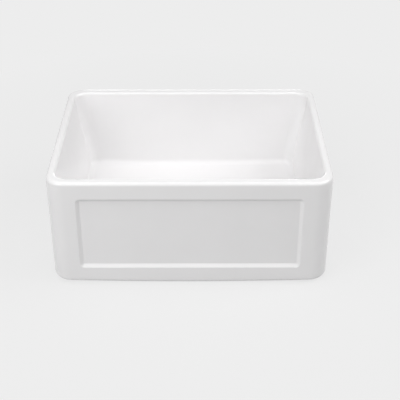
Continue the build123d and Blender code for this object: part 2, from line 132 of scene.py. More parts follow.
def opaque(colour: Colour) -> tuple[float, float, float, float]:
    """The colour with full alpha."""
    return (*colour, 1.0)


class NodeWiring:
    """Adds and links the nodes of one material or node group."""

    def __init__(self, tree: bpy.types.NodeTree) -> None:
        """Takes the node tree to fill."""
        self.tree = tree

    def add(
        self, kind: str, values: dict[str | int, object] | None = None, **settings: object
    ) -> bpy.types.Node:
        """Adds a node.

        Args:
            kind: the node's type, such as "ShaderNodeMath".
            values: fixed values or output sockets to link, by the name or number of the input.
            settings: attributes of the node itself.

        Returns:
            The new node.
        """
        node = self.tree.nodes.new(kind)
        for name, setting in settings.items():
            setattr(node, name, setting)
        for key, value in (values or {}).items():
            if isinstance(value, bpy.types.NodeSocket):
                self.link(value, node.inputs[key])
            else:
                node.inputs[key].default_value = value
        return node

    def link(self, source: bpy.types.NodeSocket, target: bpy.types.NodeSocket) -> None:
        """Joins an output to an input."""
        self.tree.links.new(source, target)

    def math(self, operation: str, first: object, second: object = 0.0) -> bpy.types.NodeSocket:
        """Works out one sum of two values or sockets, and returns its output."""
        return self.add("ShaderNodeMath", {0: first, 1: second}, operation=operation).outputs[0]

    def spread(
        self, value: object, low: float, high: float, start: float = 0.0, end: float = 1.0
    ) -> bpy.types.NodeSocket:
        """Maps a value from start..end to low..high, clamped, and returns the output."""
        values = {"Value": value, "From Min": start, "From Max": end, "To Min": low, "To Max": high}
        return self.add("ShaderNodeMapRange", values).outputs["Result"]

    def noise(self, place: object, scale: object, detail: float) -> bpy.types.NodeSocket:
        """Adds a noise at these coordinates, and returns its value."""
        values = {"Vector": place, "Scale": scale, "Detail": detail}
        return self.add("ShaderNodeTexNoise", values).outputs["Fac"]

    def mix(self, share: object, first: object, second: object) -> bpy.types.NodeSocket:
        """Mixes two colours by the second one's share, and returns the output."""
        values = {"Factor": share, MIX_FIRST: first, MIX_SECOND: second}
        return self.add("ShaderNodeMix", values, data_type="RGBA").outputs[MIX_RESULT]

    def place(self) -> bpy.types.NodeSocket:
        """The object's own coordinates."""
        return self.add("ShaderNodeTexCoord").outputs["Object"]


class GroupWiring(NodeWiring):
    """A node group with named inputs and outputs."""

    def __init__(
        self, kind: str, name: str, inputs: dict[str, tuple[str, object]], outputs: dict[str, str]
    ) -> None:
        """Makes the group, its sockets and the nodes through which they are reached.

        Args:
            kind: the type of tree, "ShaderNodeTree" or "GeometryNodeTree".
            name: the group's name.
            inputs: each input's socket type and default value, by name.
            outputs: each output's socket type, by name.
        """
        super().__init__(bpy.data.node_groups.new(name, kind))
        self.identifiers: dict[str, str] = {}
        for label, (socket_type, default) in inputs.items():
            socket = self.tree.interface.new_socket(name=label, in_out="INPUT", socket_type=socket_type)
            self.identifiers[label] = socket.identifier
            if default is not None:
                socket.default_value = default
        for label, socket_type in outputs.items():
            self.tree.interface.new_socket(name=label, in_out="OUTPUT", socket_type=socket_type)
        self.source = self.add("NodeGroupInput").outputs
        self.result = self.add("NodeGroupOutput").inputs


def mottle_group() -> bpy.types.NodeTree:
    """Soft patches of two close colours, and the mask that mixes them.

    Returns:
        The node group, made once.
    """
    known = bpy.data.node_groups.get("mottle")
    if known:
        return known
    group = GroupWiring(
        "ShaderNodeTree",
        "mottle",
        {
            "Vector": ("NodeSocketVector", None),
            "Scale": ("NodeSocketFloat", 40.0),
            "Light": ("NodeSocketColor", (0.8, 0.8, 0.8, 1.0)),
            "Dark": ("NodeSocketColor", (0.7, 0.7, 0.7, 1.0)),
        },
        {"Color": "NodeSocketColor", "Mask": "NodeSocketFloat"},
    )
    value = group.noise(group.source["Vector"], group.source["Scale"], 3.0)
    mask = group.spread(value, 0.0, 1.0, start=0.32, end=0.68)
    group.link(group.mix(mask, group.source["Dark"], group.source["Light"]), group.result["Color"])
    group.link(mask, group.result["Mask"])
    return group.tree


def ripple_group() -> bpy.types.NodeTree:
    """A height that rolls slowly, with a finer grain on top.

    Returns:
        The node group, made once.
    """
    known = bpy.data.node_groups.get("ripple")
    if known:
        return known
    group = GroupWiring(
        "ShaderNodeTree",
        "ripple",
        {
            "Vector": ("NodeSocketVector", None),
            "Wave Scale": ("NodeSocketFloat", 12.0),
            "Grain Scale": ("NodeSocketFloat", 400.0),
            "Grain Share": ("NodeSocketFloat", 0.1),
        },
        {"Height": "NodeSocketFloat"},
    )
    wave = group.noise(group.source["Vector"], group.source["Wave Scale"], 1.0)
    grain = group.noise(group.source["Vector"], group.source["Grain Scale"], 2.0)
    fine = group.math("MULTIPLY", grain, group.source["Grain Share"])
    group.link(group.math("ADD", wave, fine), group.result["Height"])
    return group.tree


def spun_group() -> bpy.types.NodeTree:
    """Fine rings round the drain's axis, such as a lathe or a spinning tool leaves.

    Returns:
        The node group, made once.
    """
    known = bpy.data.node_groups.get("spun lines")
    if known:
        return known
    group = GroupWiring(
        "ShaderNodeTree",
        "spun lines",
        {"Vector": ("NodeSocketVector", None), "Lines": ("NodeSocketFloat", 2500.0)},
        {"Mask": "NodeSocketFloat"},
    )
    centred = group.add("ShaderNodeMapping", {"Vector": group.source["Vector"], "Location": -DRAIN})
    across, along, height = group.add("ShaderNodeSeparateXYZ", {0: centred.outputs[0]}).outputs
    squares = [group.math("MULTIPLY", axis, axis) for axis in (across, along)]
    radius = group.math("SQRT", group.math("ADD", *squares))
    values = {"W": group.math("ADD", radius, height), "Scale": group.source["Lines"], "Detail": 1.0}
    noise = group.add("ShaderNodeTexNoise", values, noise_dimensions="1D")
    group.link(noise.outputs["Fac"], group.result["Mask"])
    return group.tree


# --- Finishes ---


@dataclass(frozen=True)
class Finish:
    """What every finish has: a name, a pair of close colours and a range of roughness."""

    name: str
    slot: Slot
    light: Colour
    dark: Colour
    smooth: float
    rough: float
    mottle_scale: float = 60.0

    def material(self) -> bpy.types.Material:
        """The finish as a material.

        Returns:
            The material, made once.
        """
        known = bpy.data.materials.get(self.name)
        if known:
            return known
        material = bpy.data.materials.new(self.name)
        material.use_nodes = True
        self.dress(NodeWiring(material.node_tree), material.node_tree.nodes["Principled BSDF"])
        return material

    def mottle(
        self, tree: NodeWiring, place: bpy.types.NodeSocket, scale: float, light: Colour, dark: Colour
    ) -> bpy.types.Node:
        """Places the mottle group, in patches of this scale and these two colours."""
        values = {"Vector": place, "Scale": scale, "Light": opaque(light), "Dark": opaque(dark)}
        return tree.add("ShaderNodeGroup", values, node_tree=mottle_group())

    def patches(self, tree: NodeWiring, place: bpy.types.NodeSocket) -> bpy.types.Node:
        """Places the mottle group with this finish's own colours."""
        return self.mottle(tree, place, self.mottle_scale, self.light, self.dark)

    def bump(
        self, tree: NodeWiring, shader: bpy.types.Node, height: bpy.types.NodeSocket, distance: float
    ) -> None:
        """Wires a height, of this size in metres, to the shader's normal."""
        bump = tree.add("ShaderNodeBump", {"Height": height, "Distance": distance})
        tree.link(bump.outputs["Normal"], shader.inputs["Normal"])

    def dress(self, tree: NodeWiring, shader: bpy.types.Node) -> None:
        """Wires the finish into its shader."""
        raise NotImplementedError


@dataclass(frozen=True)
class GlazeFinish(Finish):
    """Thick white gloss glaze that rolls a little, and bare ground clay under the foot."""

    clay: Colour = (0.66, 0.58, 0.46)
    clay_dark: Colour = (0.55, 0.47, 0.36)
    clay_scale: float = 220.0
    clay_roughness: float = 0.85
    glaze_ior: float = 1.52
    wave_scale: float = 11.0
    wave_height: float = 0.00035
    grain_scale: float = 160.0
    grain_share: float = 0.025
    glaze_edge: float = 0.0004
    edge_scale: float = 90.0
    bare_box: tuple[float, float, float] = (0.2600, 0.1885, 0.0373)

    def bare_clay(self, tree: NodeWiring, place: bpy.types.NodeSocket) -> bpy.types.NodeSocket:
        """Finds the bare clay, where the foot was ground and in the hollow under the floor.

        Args:
            tree: the material's nodes.
            place: the object's coordinates.

        Returns:
            A mask that is 1 on the bare clay.
        """
        across, along, height = tree.add("ShaderNodeSeparateXYZ", {0: place}).outputs
        wander = tree.noise(place, self.edge_scale, 2.0)
        edge = tree.math("MULTIPLY", wander, 2 * self.glaze_edge)
        ground = tree.math("LESS_THAN", height, edge)
        in_width = tree.math("LESS_THAN", tree.math("ABSOLUTE", across), self.bare_box[0])
        in_depth = tree.math("LESS_THAN", tree.math("ABSOLUTE", along), self.bare_box[1])
        in_height = tree.math("LESS_THAN", height, self.bare_box[2])
        inside = tree.math("MULTIPLY", tree.math("MULTIPLY", in_width, in_depth), in_height)
        return tree.math("MAXIMUM", ground, inside)

    def dress(self, tree: NodeWiring, shader: bpy.types.Node) -> None:
        """Wires the glaze and the bare clay into one shader.

        Args:
            tree: the material's nodes.
            shader: the shader that takes them.
        """
        place = tree.place()
        bare = self.bare_clay(tree, place)
        glaze = self.patches(tree, place)
        clay = self.mottle(tree, place, self.clay_scale, self.clay, self.clay_dark)
        colour = tree.mix(bare, glaze.outputs["Color"], clay.outputs["Color"])
        tree.link(colour, shader.inputs["Base Color"])
        gloss = tree.spread(glaze.outputs["Mask"], self.smooth, self.rough)
        dull = tree.math("MULTIPLY", bare, self.clay_roughness)
        tree.link(tree.math("MAXIMUM", gloss, dull), shader.inputs["Roughness"])
        shader.inputs["IOR"].default_value = self.glaze_ior
        values = {
            "Vector": place,
            "Wave Scale": self.wave_scale,
            "Grain Scale": self.grain_scale,
            "Grain Share": self.grain_share,
        }
        waves = tree.add("ShaderNodeGroup", values, node_tree=ripple_group())
        self.bump(tree, shader, waves.outputs["Height"], self.wave_height)


@dataclass(frozen=True)
class SpunMetalFinish(Finish):
    """Metal with fine rings round the drain's axis."""

    lines: float = 2500.0
    line_height: float = 0.00001
    patch_lift: float = 0.5
    blend_range: tuple[float, float] = (0.2, 0.9)

    def dress(self, tree: NodeWiring, shader: bpy.types.Node) -> None:
        """Wires colour, roughness and the fine rings.

        Args:
            tree: the material's nodes.
            shader: the shader that takes them.
        """
        place = tree.place()
        patches = self.patches(tree, place)
        rings = tree.add("ShaderNodeGroup", {"Vector": place, "Lines": self.lines}, node_tree=spun_group())
        tree.link(patches.outputs["Color"], shader.inputs["Base Color"])
        shader.inputs["Metallic"].default_value = 1.0
        lifted = tree.math("ADD", patches.outputs["Mask"], self.patch_lift)
        blend = tree.math("MULTIPLY", rings.outputs["Mask"], lifted)
        tree.link(tree.spread(blend, self.smooth, self.rough, *self.blend_range), shader.inputs["Roughness"])
        self.bump(tree, shader, rings.outputs["Mask"], self.line_height)


@dataclass(frozen=True)
class GrainFinish(Finish):
    """A casting, rubber, plastic or pressed fibre, with the grain of its mould or press."""

    grain_scale: float = 700.0
    grain_height: float = 0.00008
    grain_share: float = 0.8
    wave_scale: float = 90.0
    metallic: float = 0.0

    def dress(self, tree: NodeWiring, shader: bpy.types.Node) -> None:
        """Wires colour, roughness and grain.

        Args:
            tree: the material's nodes.
            shader: the shader that takes them.
        """
        place = tree.place()
        patches = self.patches(tree, place)
        tree.link(patches.outputs["Color"], shader.inputs["Base Color"])
        shader.inputs["Metallic"].default_value = self.metallic
        tree.link(tree.spread(patches.outputs["Mask"], self.smooth, self.rough), shader.inputs["Roughness"])
        values = {
            "Vector": place,
            "Wave Scale": self.wave_scale,
            "Grain Scale": self.grain_scale,
            "Grain Share": self.grain_share,
        }
        grain = tree.add("ShaderNodeGroup", values, node_tree=ripple_group())
        self.bump(tree, shader, grain.outputs["Height"], self.grain_height)


GLAZE = GlazeFinish(
    "white_glaze", Slot.GLAZE, (0.907, 0.900, 0.903), (0.897, 0.890, 0.893), 0.05, 0.08, mottle_scale=14.0
)
STRAINER_STEEL = SpunMetalFinish(
    "spun_steel", Slot.STRAINER_STEEL, (0.66, 0.66, 0.65), (0.58, 0.58, 0.575), 0.18, 0.34
)
BASKET_STEEL = SpunMetalFinish(
    "polished_steel", Slot.BASKET_STEEL, (0.70, 0.70, 0.69), (0.63, 0.63, 0.62), 0.10, 0.22,
    mottle_scale=45.0, lines=1800.0, line_height=0.000006,
)
ZINC = GrainFinish(
    "plated_zinc", Slot.ZINC, (0.58, 0.59, 0.60), (0.46, 0.47, 0.48), 0.38, 0.62,
    mottle_scale=80.0, grain_scale=900.0, grain_height=0.00006, grain_share=0.6, wave_scale=120.0,
    metallic=1.0,
)
CHROME = SpunMetalFinish(
    "chrome_plate", Slot.CHROME, (0.82, 0.82, 0.83), (0.77, 0.77, 0.78), 0.04, 0.10,
    mottle_scale=30.0, lines=900.0, line_height=0.000002,
)
BLACK_RUBBER = GrainFinish(
    "black_rubber", Slot.BLACK_RUBBER, (0.050, 0.050, 0.052), (0.024, 0.024, 0.026), 0.5, 0.7
)
GREY_RUBBER = GrainFinish(
    "grey_rubber", Slot.GREY_RUBBER, (0.32, 0.32, 0.33), (0.24, 0.24, 0.25), 0.55, 0.75
)
FIBRE = GrainFinish(
    "pressed_fibre", Slot.FIBRE, (0.50, 0.37, 0.25), (0.34, 0.23, 0.14), 0.8, 0.95,
    mottle_scale=260.0, grain_scale=1400.0, grain_height=0.0002, wave_scale=300.0,
)
NYLON = GrainFinish(
    "white_nylon", Slot.NYLON, (0.86, 0.86, 0.83), (0.80, 0.80, 0.77), 0.32, 0.45,
    mottle_scale=50.0, grain_scale=900.0, grain_height=0.00002,
)


# --- Meshes ---


def finish_mesh(mesh: bpy.types.Mesh) -> None:
    """Merges doubles, turns faces outwards, and keeps only real corners sharp.

    Args:
        mesh: the mesh to finish.
    """
    work = bmesh.new()
    work.from_mesh(mesh)
    bmesh.ops.remove_doubles(work, verts=work.verts, dist=MERGE_DISTANCE)
    bmesh.ops.dissolve_degenerate(work, edges=work.edges, dist=MERGE_DISTANCE)
    bmesh.ops.recalc_face_normals(work, faces=work.faces)
    for face in work.faces:
        face.smooth = True
    for edge in work.edges:
        edge.smooth = len(edge.link_faces) != 2 or edge.calc_face_angle() < SHARP_ANGLE
    work.to_mesh(mesh)
    work.free()


def new_piece(
    name: str, points: Sequence[Sequence[float]], faces: Iterable[Sequence[int]]
) -> bpy.types.Object:
    """Makes a mesh object at the origin from points and faces, and puts it in the scene.

    Args:
        name: the object's name.
        points: its points.
        faces: the corners of each face, counted in the points.

    Returns:
        The object.
    """
    mesh = bpy.data.meshes.new(name)
    mesh.from_pydata([tuple(map(float, point)) for point in points], [], [tuple(face) for face in faces])
    piece = bpy.data.objects.new(name, mesh)
    bpy.context.scene.collection.objects.link(piece)
    return piece


def grid_faces(rows: int, columns: int, closed_rows: bool, closed_columns: bool) -> list[tuple[int, ...]]:
    """Faces between rows of points.

    Args:
        rows: how many rows there are.
        columns: how many points each row has.
        closed_rows: whether the last row joins the first.
        closed_columns: whether each row is a ring.

    Returns:
        The faces, as corners counted row by row.
    """
    faces = []
    for row in range(rows if closed_rows else rows - 1):
        above = (row + 1) % rows
        for column in range(columns if closed_columns else columns - 1):
            after = (column + 1) % columns
            low, high = row * columns, above * columns
            faces.append((low + column, low + after, high + after, high + column))
    return faces


def rounded_outline(corners: Sequence[Corner], closed: bool = True) -> np.ndarray:
    """Rounds the corners of an outline.

    Args:
        corners: (radius, height) or (radius, height, rounding) for each corner, in order.
        closed: whether the outline's end meets its start.

    Returns:
        The outline's points, two numbers each.
    """
    points = []
    places = [np.array(corner[:2], float) for corner in corners]
    for number, corner in enumerate(corners):
        is_end = not closed and number in (0, len(corners) - 1)
        rounding = corner[2] if len(corner) > 2 else 0.0
        if rounding == 0 or is_end:
            points.append(places[number])
            continue
        here = places[number]
        before = places[number - 1] - here
        after = places[(number + 1) % len(places)] - here
        before_length, after_length = np.linalg.norm(before), np.linalg.norm(after)
        before, after = before / before_length, after / after_length
        opening = math.acos(float(np.clip(before @ after, -1, 1)))
        reach = rounding / math.tan(opening / 2)
        limit = LONGEST_REACH * min(before_length, after_length)
        if reach > limit:
            reach, rounding = limit, limit * math.tan(opening / 2)
        inward = (before + after) / np.linalg.norm(before + after)
        centre = here + inward * rounding / math.sin(opening / 2)
        start = here + before * reach - centre
        end = here + after * reach - centre
        turn = math.pi - opening
        parts = max(2, math.ceil(turn / ARC_STEP))
        for part in range(parts + 1):
            share = part / parts
            arm = (math.sin((1 - share) * turn) * start + math.sin(share * turn) * end) / math.sin(turn)
            points.append(centre + arm)
    return np.array(points)


def round_ring(outline: np.ndarray, steps: int) -> np.ndarray:
    """Turns an outline about the drain's axis.

    Args:
        outline: the radius and height of each point.
        steps: how many points go round.

    Returns:
        A row of points for each point of the outline.
    """
    angles = np.linspace(0, 2 * math.pi, steps, endpoint=False)
    radius, height = outline[:, :1], outline[:, 1:]
    across = DRAIN.x + radius * np.cos(angles)
    along = DRAIN.y + radius * np.sin(angles)
    return np.stack([across, along, np.broadcast_to(height, across.shape)], axis=-1)


def turned_piece(name: str, corners: Sequence[Corner], steps: int = 96) -> bpy.types.Object:
    """A closed solid turned about the drain's axis.

    Args:
        name: the object's name.
        corners: its section, as rounded_outline takes it.
        steps: how many points go round.

    Returns:
        The object.
    """
    outline = rounded_outline(corners)
    outline[np.abs(outline[:, 0]) < MERGE_DISTANCE, 0] = 0.0
    rows = round_ring(outline, steps)
    piece = new_piece(name, rows.reshape(-1, 3), grid_faces(len(rows), steps, True, True))
    finish_mesh(piece.data)
    return piece


def join_meshes(target: bpy.types.Object, others: Sequence[bpy.types.Object]) -> None:
    """Puts the meshes of other objects into the target's mesh, and removes those objects.

    Args:
        target: the object that takes the meshes.
        others: the objects that give theirs.
    """
    work = bmesh.new()
    work.from_mesh(target.data)
    for other in others:
        work.from_mesh(other.data)
    work.to_mesh(target.data)
    work.free()
    for other in others:
        bpy.data.objects.remove(other)


def bake(piece: bpy.types.Object) -> None:
    """Replaces a piece's mesh by what its modifiers make of it, and removes them.

    Args:
        piece: the object with the modifiers.
    """
    evaluated = piece.evaluated_get(bpy.context.evaluated_depsgraph_get())
    mesh = bpy.data.meshes.new_from_object(evaluated)
    piece.modifiers.clear()
    piece.data = mesh


def dress(piece: bpy.types.Object, body: Body, finish: Finish, replaced: str | None = None) -> None:
    """Gives a piece its finish, its body and the node that it stands for, and reports it.

    Args:
        piece: the object.
        body: the body that it rides on.
        finish: its finish.
        replaced: the node that it stands for, if any.
    """
    piece.data.materials.clear()
    piece.data.materials.append(finish.material())
    if replaced:
        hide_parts(replaced)
    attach(piece, body.value)
    piece.data.calc_loop_triangles()
    LOG.info("%s: %d triangles, %s", piece.name, len(piece.data.loop_triangles), finish.name)


def dress_node(node: str, finish: Finish) -> None:
    """Gives its finish to a node that is kept as it is, and reports it.

    Args:
        node: the node's name.
        finish: its finish.
    """
    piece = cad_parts[node]
    piece.data.materials.clear()
    piece.data.materials.append(finish.material())
    LOG.info("%s: kept, %s", node, finish.name)


# --- Geometry Nodes ---


class GeometryTree(GroupWiring):
    """A Geometry Nodes tree with named inputs, whose result ends in real geometry with a material."""

    def __init__(self, name: str, inputs: dict[str, tuple[str, object]]) -> None:
        """Makes the tree and its sockets.

        Args:
            name: the tree's name.
            inputs: each input's socket type and default value, by name. The geometry and the material
                are added to them.
        """
        geometry, material = ("NodeSocketGeometry", None), ("NodeSocketMaterial", None)
        sockets = {"Geometry": geometry, **inputs, "Material": material}
        super().__init__("GeometryNodeTree", name, sockets, {"Geometry": "NodeSocketGeometry"})

    def end(self, geometry: bpy.types.NodeSocket) -> None:
        """Realizes the instances and sets the material.

        Args:
            geometry: the output that holds the finished geometry.
        """
        real = self.add("GeometryNodeRealizeInstances", {"Geometry": geometry})
        values = {"Geometry": real.outputs["Geometry"], "Material": self.source["Material"]}
        coloured = self.add("GeometryNodeSetMaterial", values)
        self.link(coloured.outputs["Geometry"], self.result["Geometry"])

    def apply(self, piece: bpy.types.Object, values: dict[str, object]) -> None:
        """Runs the tree on a piece, and bakes the result.

        Args:
            piece: the object that holds the geometry.
            values: the inputs' values, by name.
        """
        modifier = piece.modifiers.new(self.tree.name, "NODES")
        modifier.node_group = self.tree
        for label, value in values.items():
            modifier[self.identifiers[label]] = value
        bake(piece)


def ring_array_tree() -> GeometryTree:
    """Copies the geometry evenly round the drain's axis.

    Returns:
        The tree.
    """
    tree = GeometryTree(
        "ring array",
        {
            "Count": ("NodeSocketInt", 4),
            "Centre": ("NodeSocketVector", None),
            "Start": ("NodeSocketFloat", 0.0),
        },
    )
    centre, count = tree.source["Centre"], tree.source["Count"]
    points = tree.add("GeometryNodePoints", {"Count": count, "Position": centre})
    back = tree.add("ShaderNodeVectorMath", {0: centre, "Scale": -1.0}, operation="SCALE")
    values = {"Geometry": tree.source["Geometry"], "Translation": back.outputs["Vector"]}
    shifted = tree.add("GeometryNodeTransform", values)
    index = tree.add("GeometryNodeInputIndex").outputs[0]
    turn = tree.math("MULTIPLY", index, tree.math("DIVIDE", 2 * math.pi, count))
    euler = tree.add("ShaderNodeCombineXYZ", {"Z": tree.math("ADD", turn, tree.source["Start"])})
    rotation = tree.add("FunctionNodeEulerToRotation", {"Euler": euler.outputs[0]})
    values = {
        "Points": points.outputs["Points"],
        "Instance": shifted.outputs["Geometry"],
        "Rotation": rotation.outputs["Rotation"],
    }
    tree.end(tree.add("GeometryNodeInstanceOnPoints", values).outputs["Instances"])
    return tree


# Points in one turn of a thread, sides of its ridge, the share of it that fades, and how thin it ends
THREAD_STEPS = 72
RIDGE_SIDES = 6
THREAD_FADE = 0.02
THREAD_TIP = 0.02


def thread_tree() -> GeometryTree:
    """A screw thread: a blunt ridge swept along a helix, fading out at both ends.

    Returns:
        The tree.
    """
    tree = GeometryTree(
        "screw thread",
        {
            "Radius": ("NodeSocketFloat", 0.04),
            "Pitch": ("NodeSocketFloat", 0.0024),
            "Length": ("NodeSocketFloat", 0.04),
            "Ridge": ("NodeSocketFloat", 0.0012),
            "Foot": ("NodeSocketVector", None),
        },
    )
    radius, length = tree.source["Radius"], tree.source["Length"]
    values = {
        "Resolution": THREAD_STEPS,
        "Rotations": tree.math("DIVIDE", length, tree.source["Pitch"]),
        "Start Radius": radius,
        "End Radius": radius,
        "Height": length,
    }
    helix = tree.add("GeometryNodeCurveSpiral", values).outputs["Curve"]
    upright = tree.add("GeometryNodeSetCurveNormal", {"Curve": helix}, mode="Z_UP")
    along = tree.add("GeometryNodeSplineParameter").outputs["Factor"]
    rise = tree.spread(along, 0.0, 1.0, start=0.0, end=THREAD_FADE)
    fall = tree.spread(along, 1.0, 0.0, start=1.0 - THREAD_FADE, end=1.0)
    width = tree.math("MAXIMUM", tree.math("MINIMUM", rise, fall), THREAD_TIP)
    values = {"Resolution": RIDGE_SIDES, "Radius": tree.source["Ridge"]}
    section = tree.add("GeometryNodeCurvePrimitiveCircle", values)
    values = {
        "Curve": upright.outputs["Curve"],
        "Profile Curve": section.outputs["Curve"],
        "Scale": width,
        "Fill Caps": True,
    }
    ridge = tree.add("GeometryNodeCurveToMesh", values)
    values = {"Geometry": ridge.outputs["Mesh"], "Translation": tree.source["Foot"]}
    tree.end(tree.add("GeometryNodeTransform", values).outputs["Geometry"])
    return tree


# --- The sink ---


@dataclass(frozen=True)
class Outline:
    """A rectangle with round corners, seen from above."""

    half_width: float
    front: float
    back: float
    front_corner: float
    back_corner: float


@dataclass
class ApronSink:
    """The one-piece fireclay sink, as one closed skin of rings that run round it."""

    front_corner: float = 0.040
    back_corner: float = 0.035
    rim_outer: float = 0.008
    rim_inner: float = 0.006
    base_rounding: float = 0.010
    skirt_gap: float = 0.0006
    skirt_bow: float = 0.0055
    foot_inset: float = 0.016
    foot_rounding: float = 0.0005
    side_wall: float = 0.0175
    front_wall: float = 0.020
    back_wall: float = 0.0225
    basin_corner: float = 0.030
    basin_foot_corner: float = 0.024
    side_lean: float = math.radians(9.3)
    end_lean: float = math.radians(4.8)
    floor_level: float = 0.064
    floor_dish: float = 9.0
    cove: float = 0.014
    seat_radius: float = 0.059
    seat_softening: float = 0.0025
    seat_level: float = 0.060
    hole_radius: float = 0.045
    hole_rounding: float = 0.001
    hollow_top: float = 0.037
    foot_width: float = 0.024
    hollow_corner: float = 0.025
    hollow_lean: float = math.radians(6)
    hollow_rounding: float = 0.012
    hollow_edge: float = 0.0015
    panel_side_margin: float = 0.062
    panel_top_margin: float = 0.039
    panel_bottom_margin: float = 0.042
    panel_sink: float = 0.0055
    panel_bevel: float = 0.0075
    panel_corner: float = 0.010
    panel_softening: float = 0.002

    # Where the rows and columns of points lie, close together on the slopes and the roundings
    slope_step: float = 0.001
    slope_inside: float = 0.0105
    slope_outside: float = 0.0041
    slope_above: float = 0.0025
    stile_places: tuple[float, ...] = (0.247, 0.253, 0.2585)
    stile_end: float = 0.26
    rim_land: float = 0.0006
    skirt_shares: tuple[float, ...] = (0.05, 0.35, 0.7)
    top_shares: tuple[float, ...] = (0.4, 0.8)
    wall_end_shares: tuple[float, ...] = (0.004, 0.02, 0.98, 0.996)
    floor_shares: tuple[float, ...] = (
        0.006, 0.03, 0.08, 0.16, 0.27, 0.39, 0.51, 0.63, 0.74, 0.84, 0.92, 0.97, 0.992
    )
    roof_shares: tuple[float, ...] = (0.02, 0.1, 0.25, 0.5, 0.75, 0.95)
    foot_shares: tuple[float, ...] = (0.5, 0.97)
    plain_span: tuple[float, float] = (0.06, 0.94)
    side_start: tuple[float, ...] = (0.006, 0.025)
    side_end: tuple[float, ...] = (0.975, 0.994)
    panel_points: int = 47
    side_points: int = 26
    back_points: int = 44
    arc_steps: int = 22
    foot_rows: int = 4
    base_rows: int = 10
    panel_rows: int = 18
    rim_rows: int = 12
    mouth_rows: int = 10
    wall_rows: int = 12
    cove_rows: int = 17
    lip_rows: int = 7
    cove_rounds: int = 8
    low: Vector = field(default_factory=lambda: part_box("sink_body")[0])
    high: Vector = field(default_factory=lambda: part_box("sink_body")[1])

    def outside(self) -> Outline:
        """The outside seen from above."""
        return Outline(self.high.x, self.low.y, self.high.y, self.front_corner, self.back_corner)

    def basin_outline(self, level: float) -> Outline:
        """The basin's walls at this height, before the rim and the floor are rounded.

        Args:
            level: the height.

        Returns:
            The walls' outline there.
        """
        drop = self.high.z - level
        corner = self.basin_corner
        corner += (self.basin_foot_corner - corner) * drop / (self.high.z - self.seat_level)
        half_width = self.high.x - self.side_wall - drop * math.tan(self.side_lean)
        front = self.low.y + self.front_wall + drop * math.tan(self.end_lean)
        back = self.high.y - self.back_wall - drop * math.tan(self.end_lean)
        return Outline(half_width, front, back, corner, corner)

    def hollow_outline(self) -> Outline:
        """The edge of the hollow under the floor, in the plane of the foot.

        Returns:
            The outline.
        """
        inset = self.foot_inset + self.foot_width
        front, back = self.low.y + inset, self.high.y - inset
        return Outline(self.high.x - inset, front, back, self.hollow_corner, self.hollow_corner)

    def front_shares(self) -> np.ndarray:
        """Places along the flat front, as shares, close together across the panel's slopes.

        Returns:
            The shares, from left to right.
        """
        reach = self.high.x - self.front_corner
        edge = self.high.x - self.panel_side_margin
        slope = np.arange(edge - self.slope_inside, edge + self.slope_outside, self.slope_step)
        outer = np.array(self.stile_places) * reach / self.stile_end
        right = np.concatenate([slope, outer])
        middle = np.linspace(-slope[0], slope[0], self.panel_points)[1:-1]
        return (np.concatenate([-right[::-1], middle, right]) + reach) / (2 * reach)

    def side_shares(self, count: int) -> np.ndarray:
        """Places along a plain side, as shares, with a few close to each end."""
        return np.concatenate([self.side_start, np.linspace(*self.plain_span, count), self.side_end])

    def ring(self, outline: Outline) -> tuple[np.ndarray, np.ndarray]:
        """Walks round an outline.

        Args:
            outline: the outline to walk round, from the left end of its front.

        Returns:
            The points, and the direction out of the outline at each.
        """
        x, front, back = outline.half_width, outline.front, outline.back
        near, far = outline.front_corner, outline.back_corner
        points: list[np.ndarray] = []
        normals: list[np.ndarray] = []

        def straight(start: tuple[float, float], end: tuple[float, float], shares: np.ndarray) -> None:
            """Adds the points between two corners' arcs.

            Args:
                start: where the first corner's arc ends.
                end: where the next corner's arc begins.
                shares: where the points lie between them.
            """
            first, last = np.array(start), np.array(end)
            direction = (last - first) / np.linalg.norm(last - first)
            for share in shares:
                points.append(first + (last - first) * share)
                normals.append(np.array([direction[1], -direction[0]]))

        def arc(centre: tuple[float, float], radius: float, start: float) -> None:
            """Adds a quarter turn, both its ends included.

            Args:
                centre: its centre.
                radius: its radius.
                start: the angle that it starts at.
            """
            for angle in np.linspace(start, start + math.pi / 2, self.arc_steps + 1):
                outward = np.array([math.cos(angle), math.sin(angle)])
                points.append(np.array(centre) + radius * outward)
                normals.append(outward)

        straight((-x + near, front), (x - near, front), self.front_shares())
        arc((x - near, front + near), near, -math.pi / 2)
        straight((x, front + near), (x, back - far), self.side_shares(self.side_points))
        arc((x - far, back - far), far, 0.0)
        straight((x - far, back), (-x + far, back), self.side_shares(self.back_points))
        arc((-x + far, back - far), far, math.pi / 2)
        straight((-x, back - far), (-x, front + near), self.side_shares(self.side_points))
        arc((-x + near, front + near), near, math.pi)
        return np.array(points), np.array(normals)

    def skirt(self, x: np.ndarray) -> np.ndarray:
        """Height of the lower edge, which bows up towards both ends."""
        return self.skirt_gap + self.skirt_bow * (x / self.high.x) ** 2

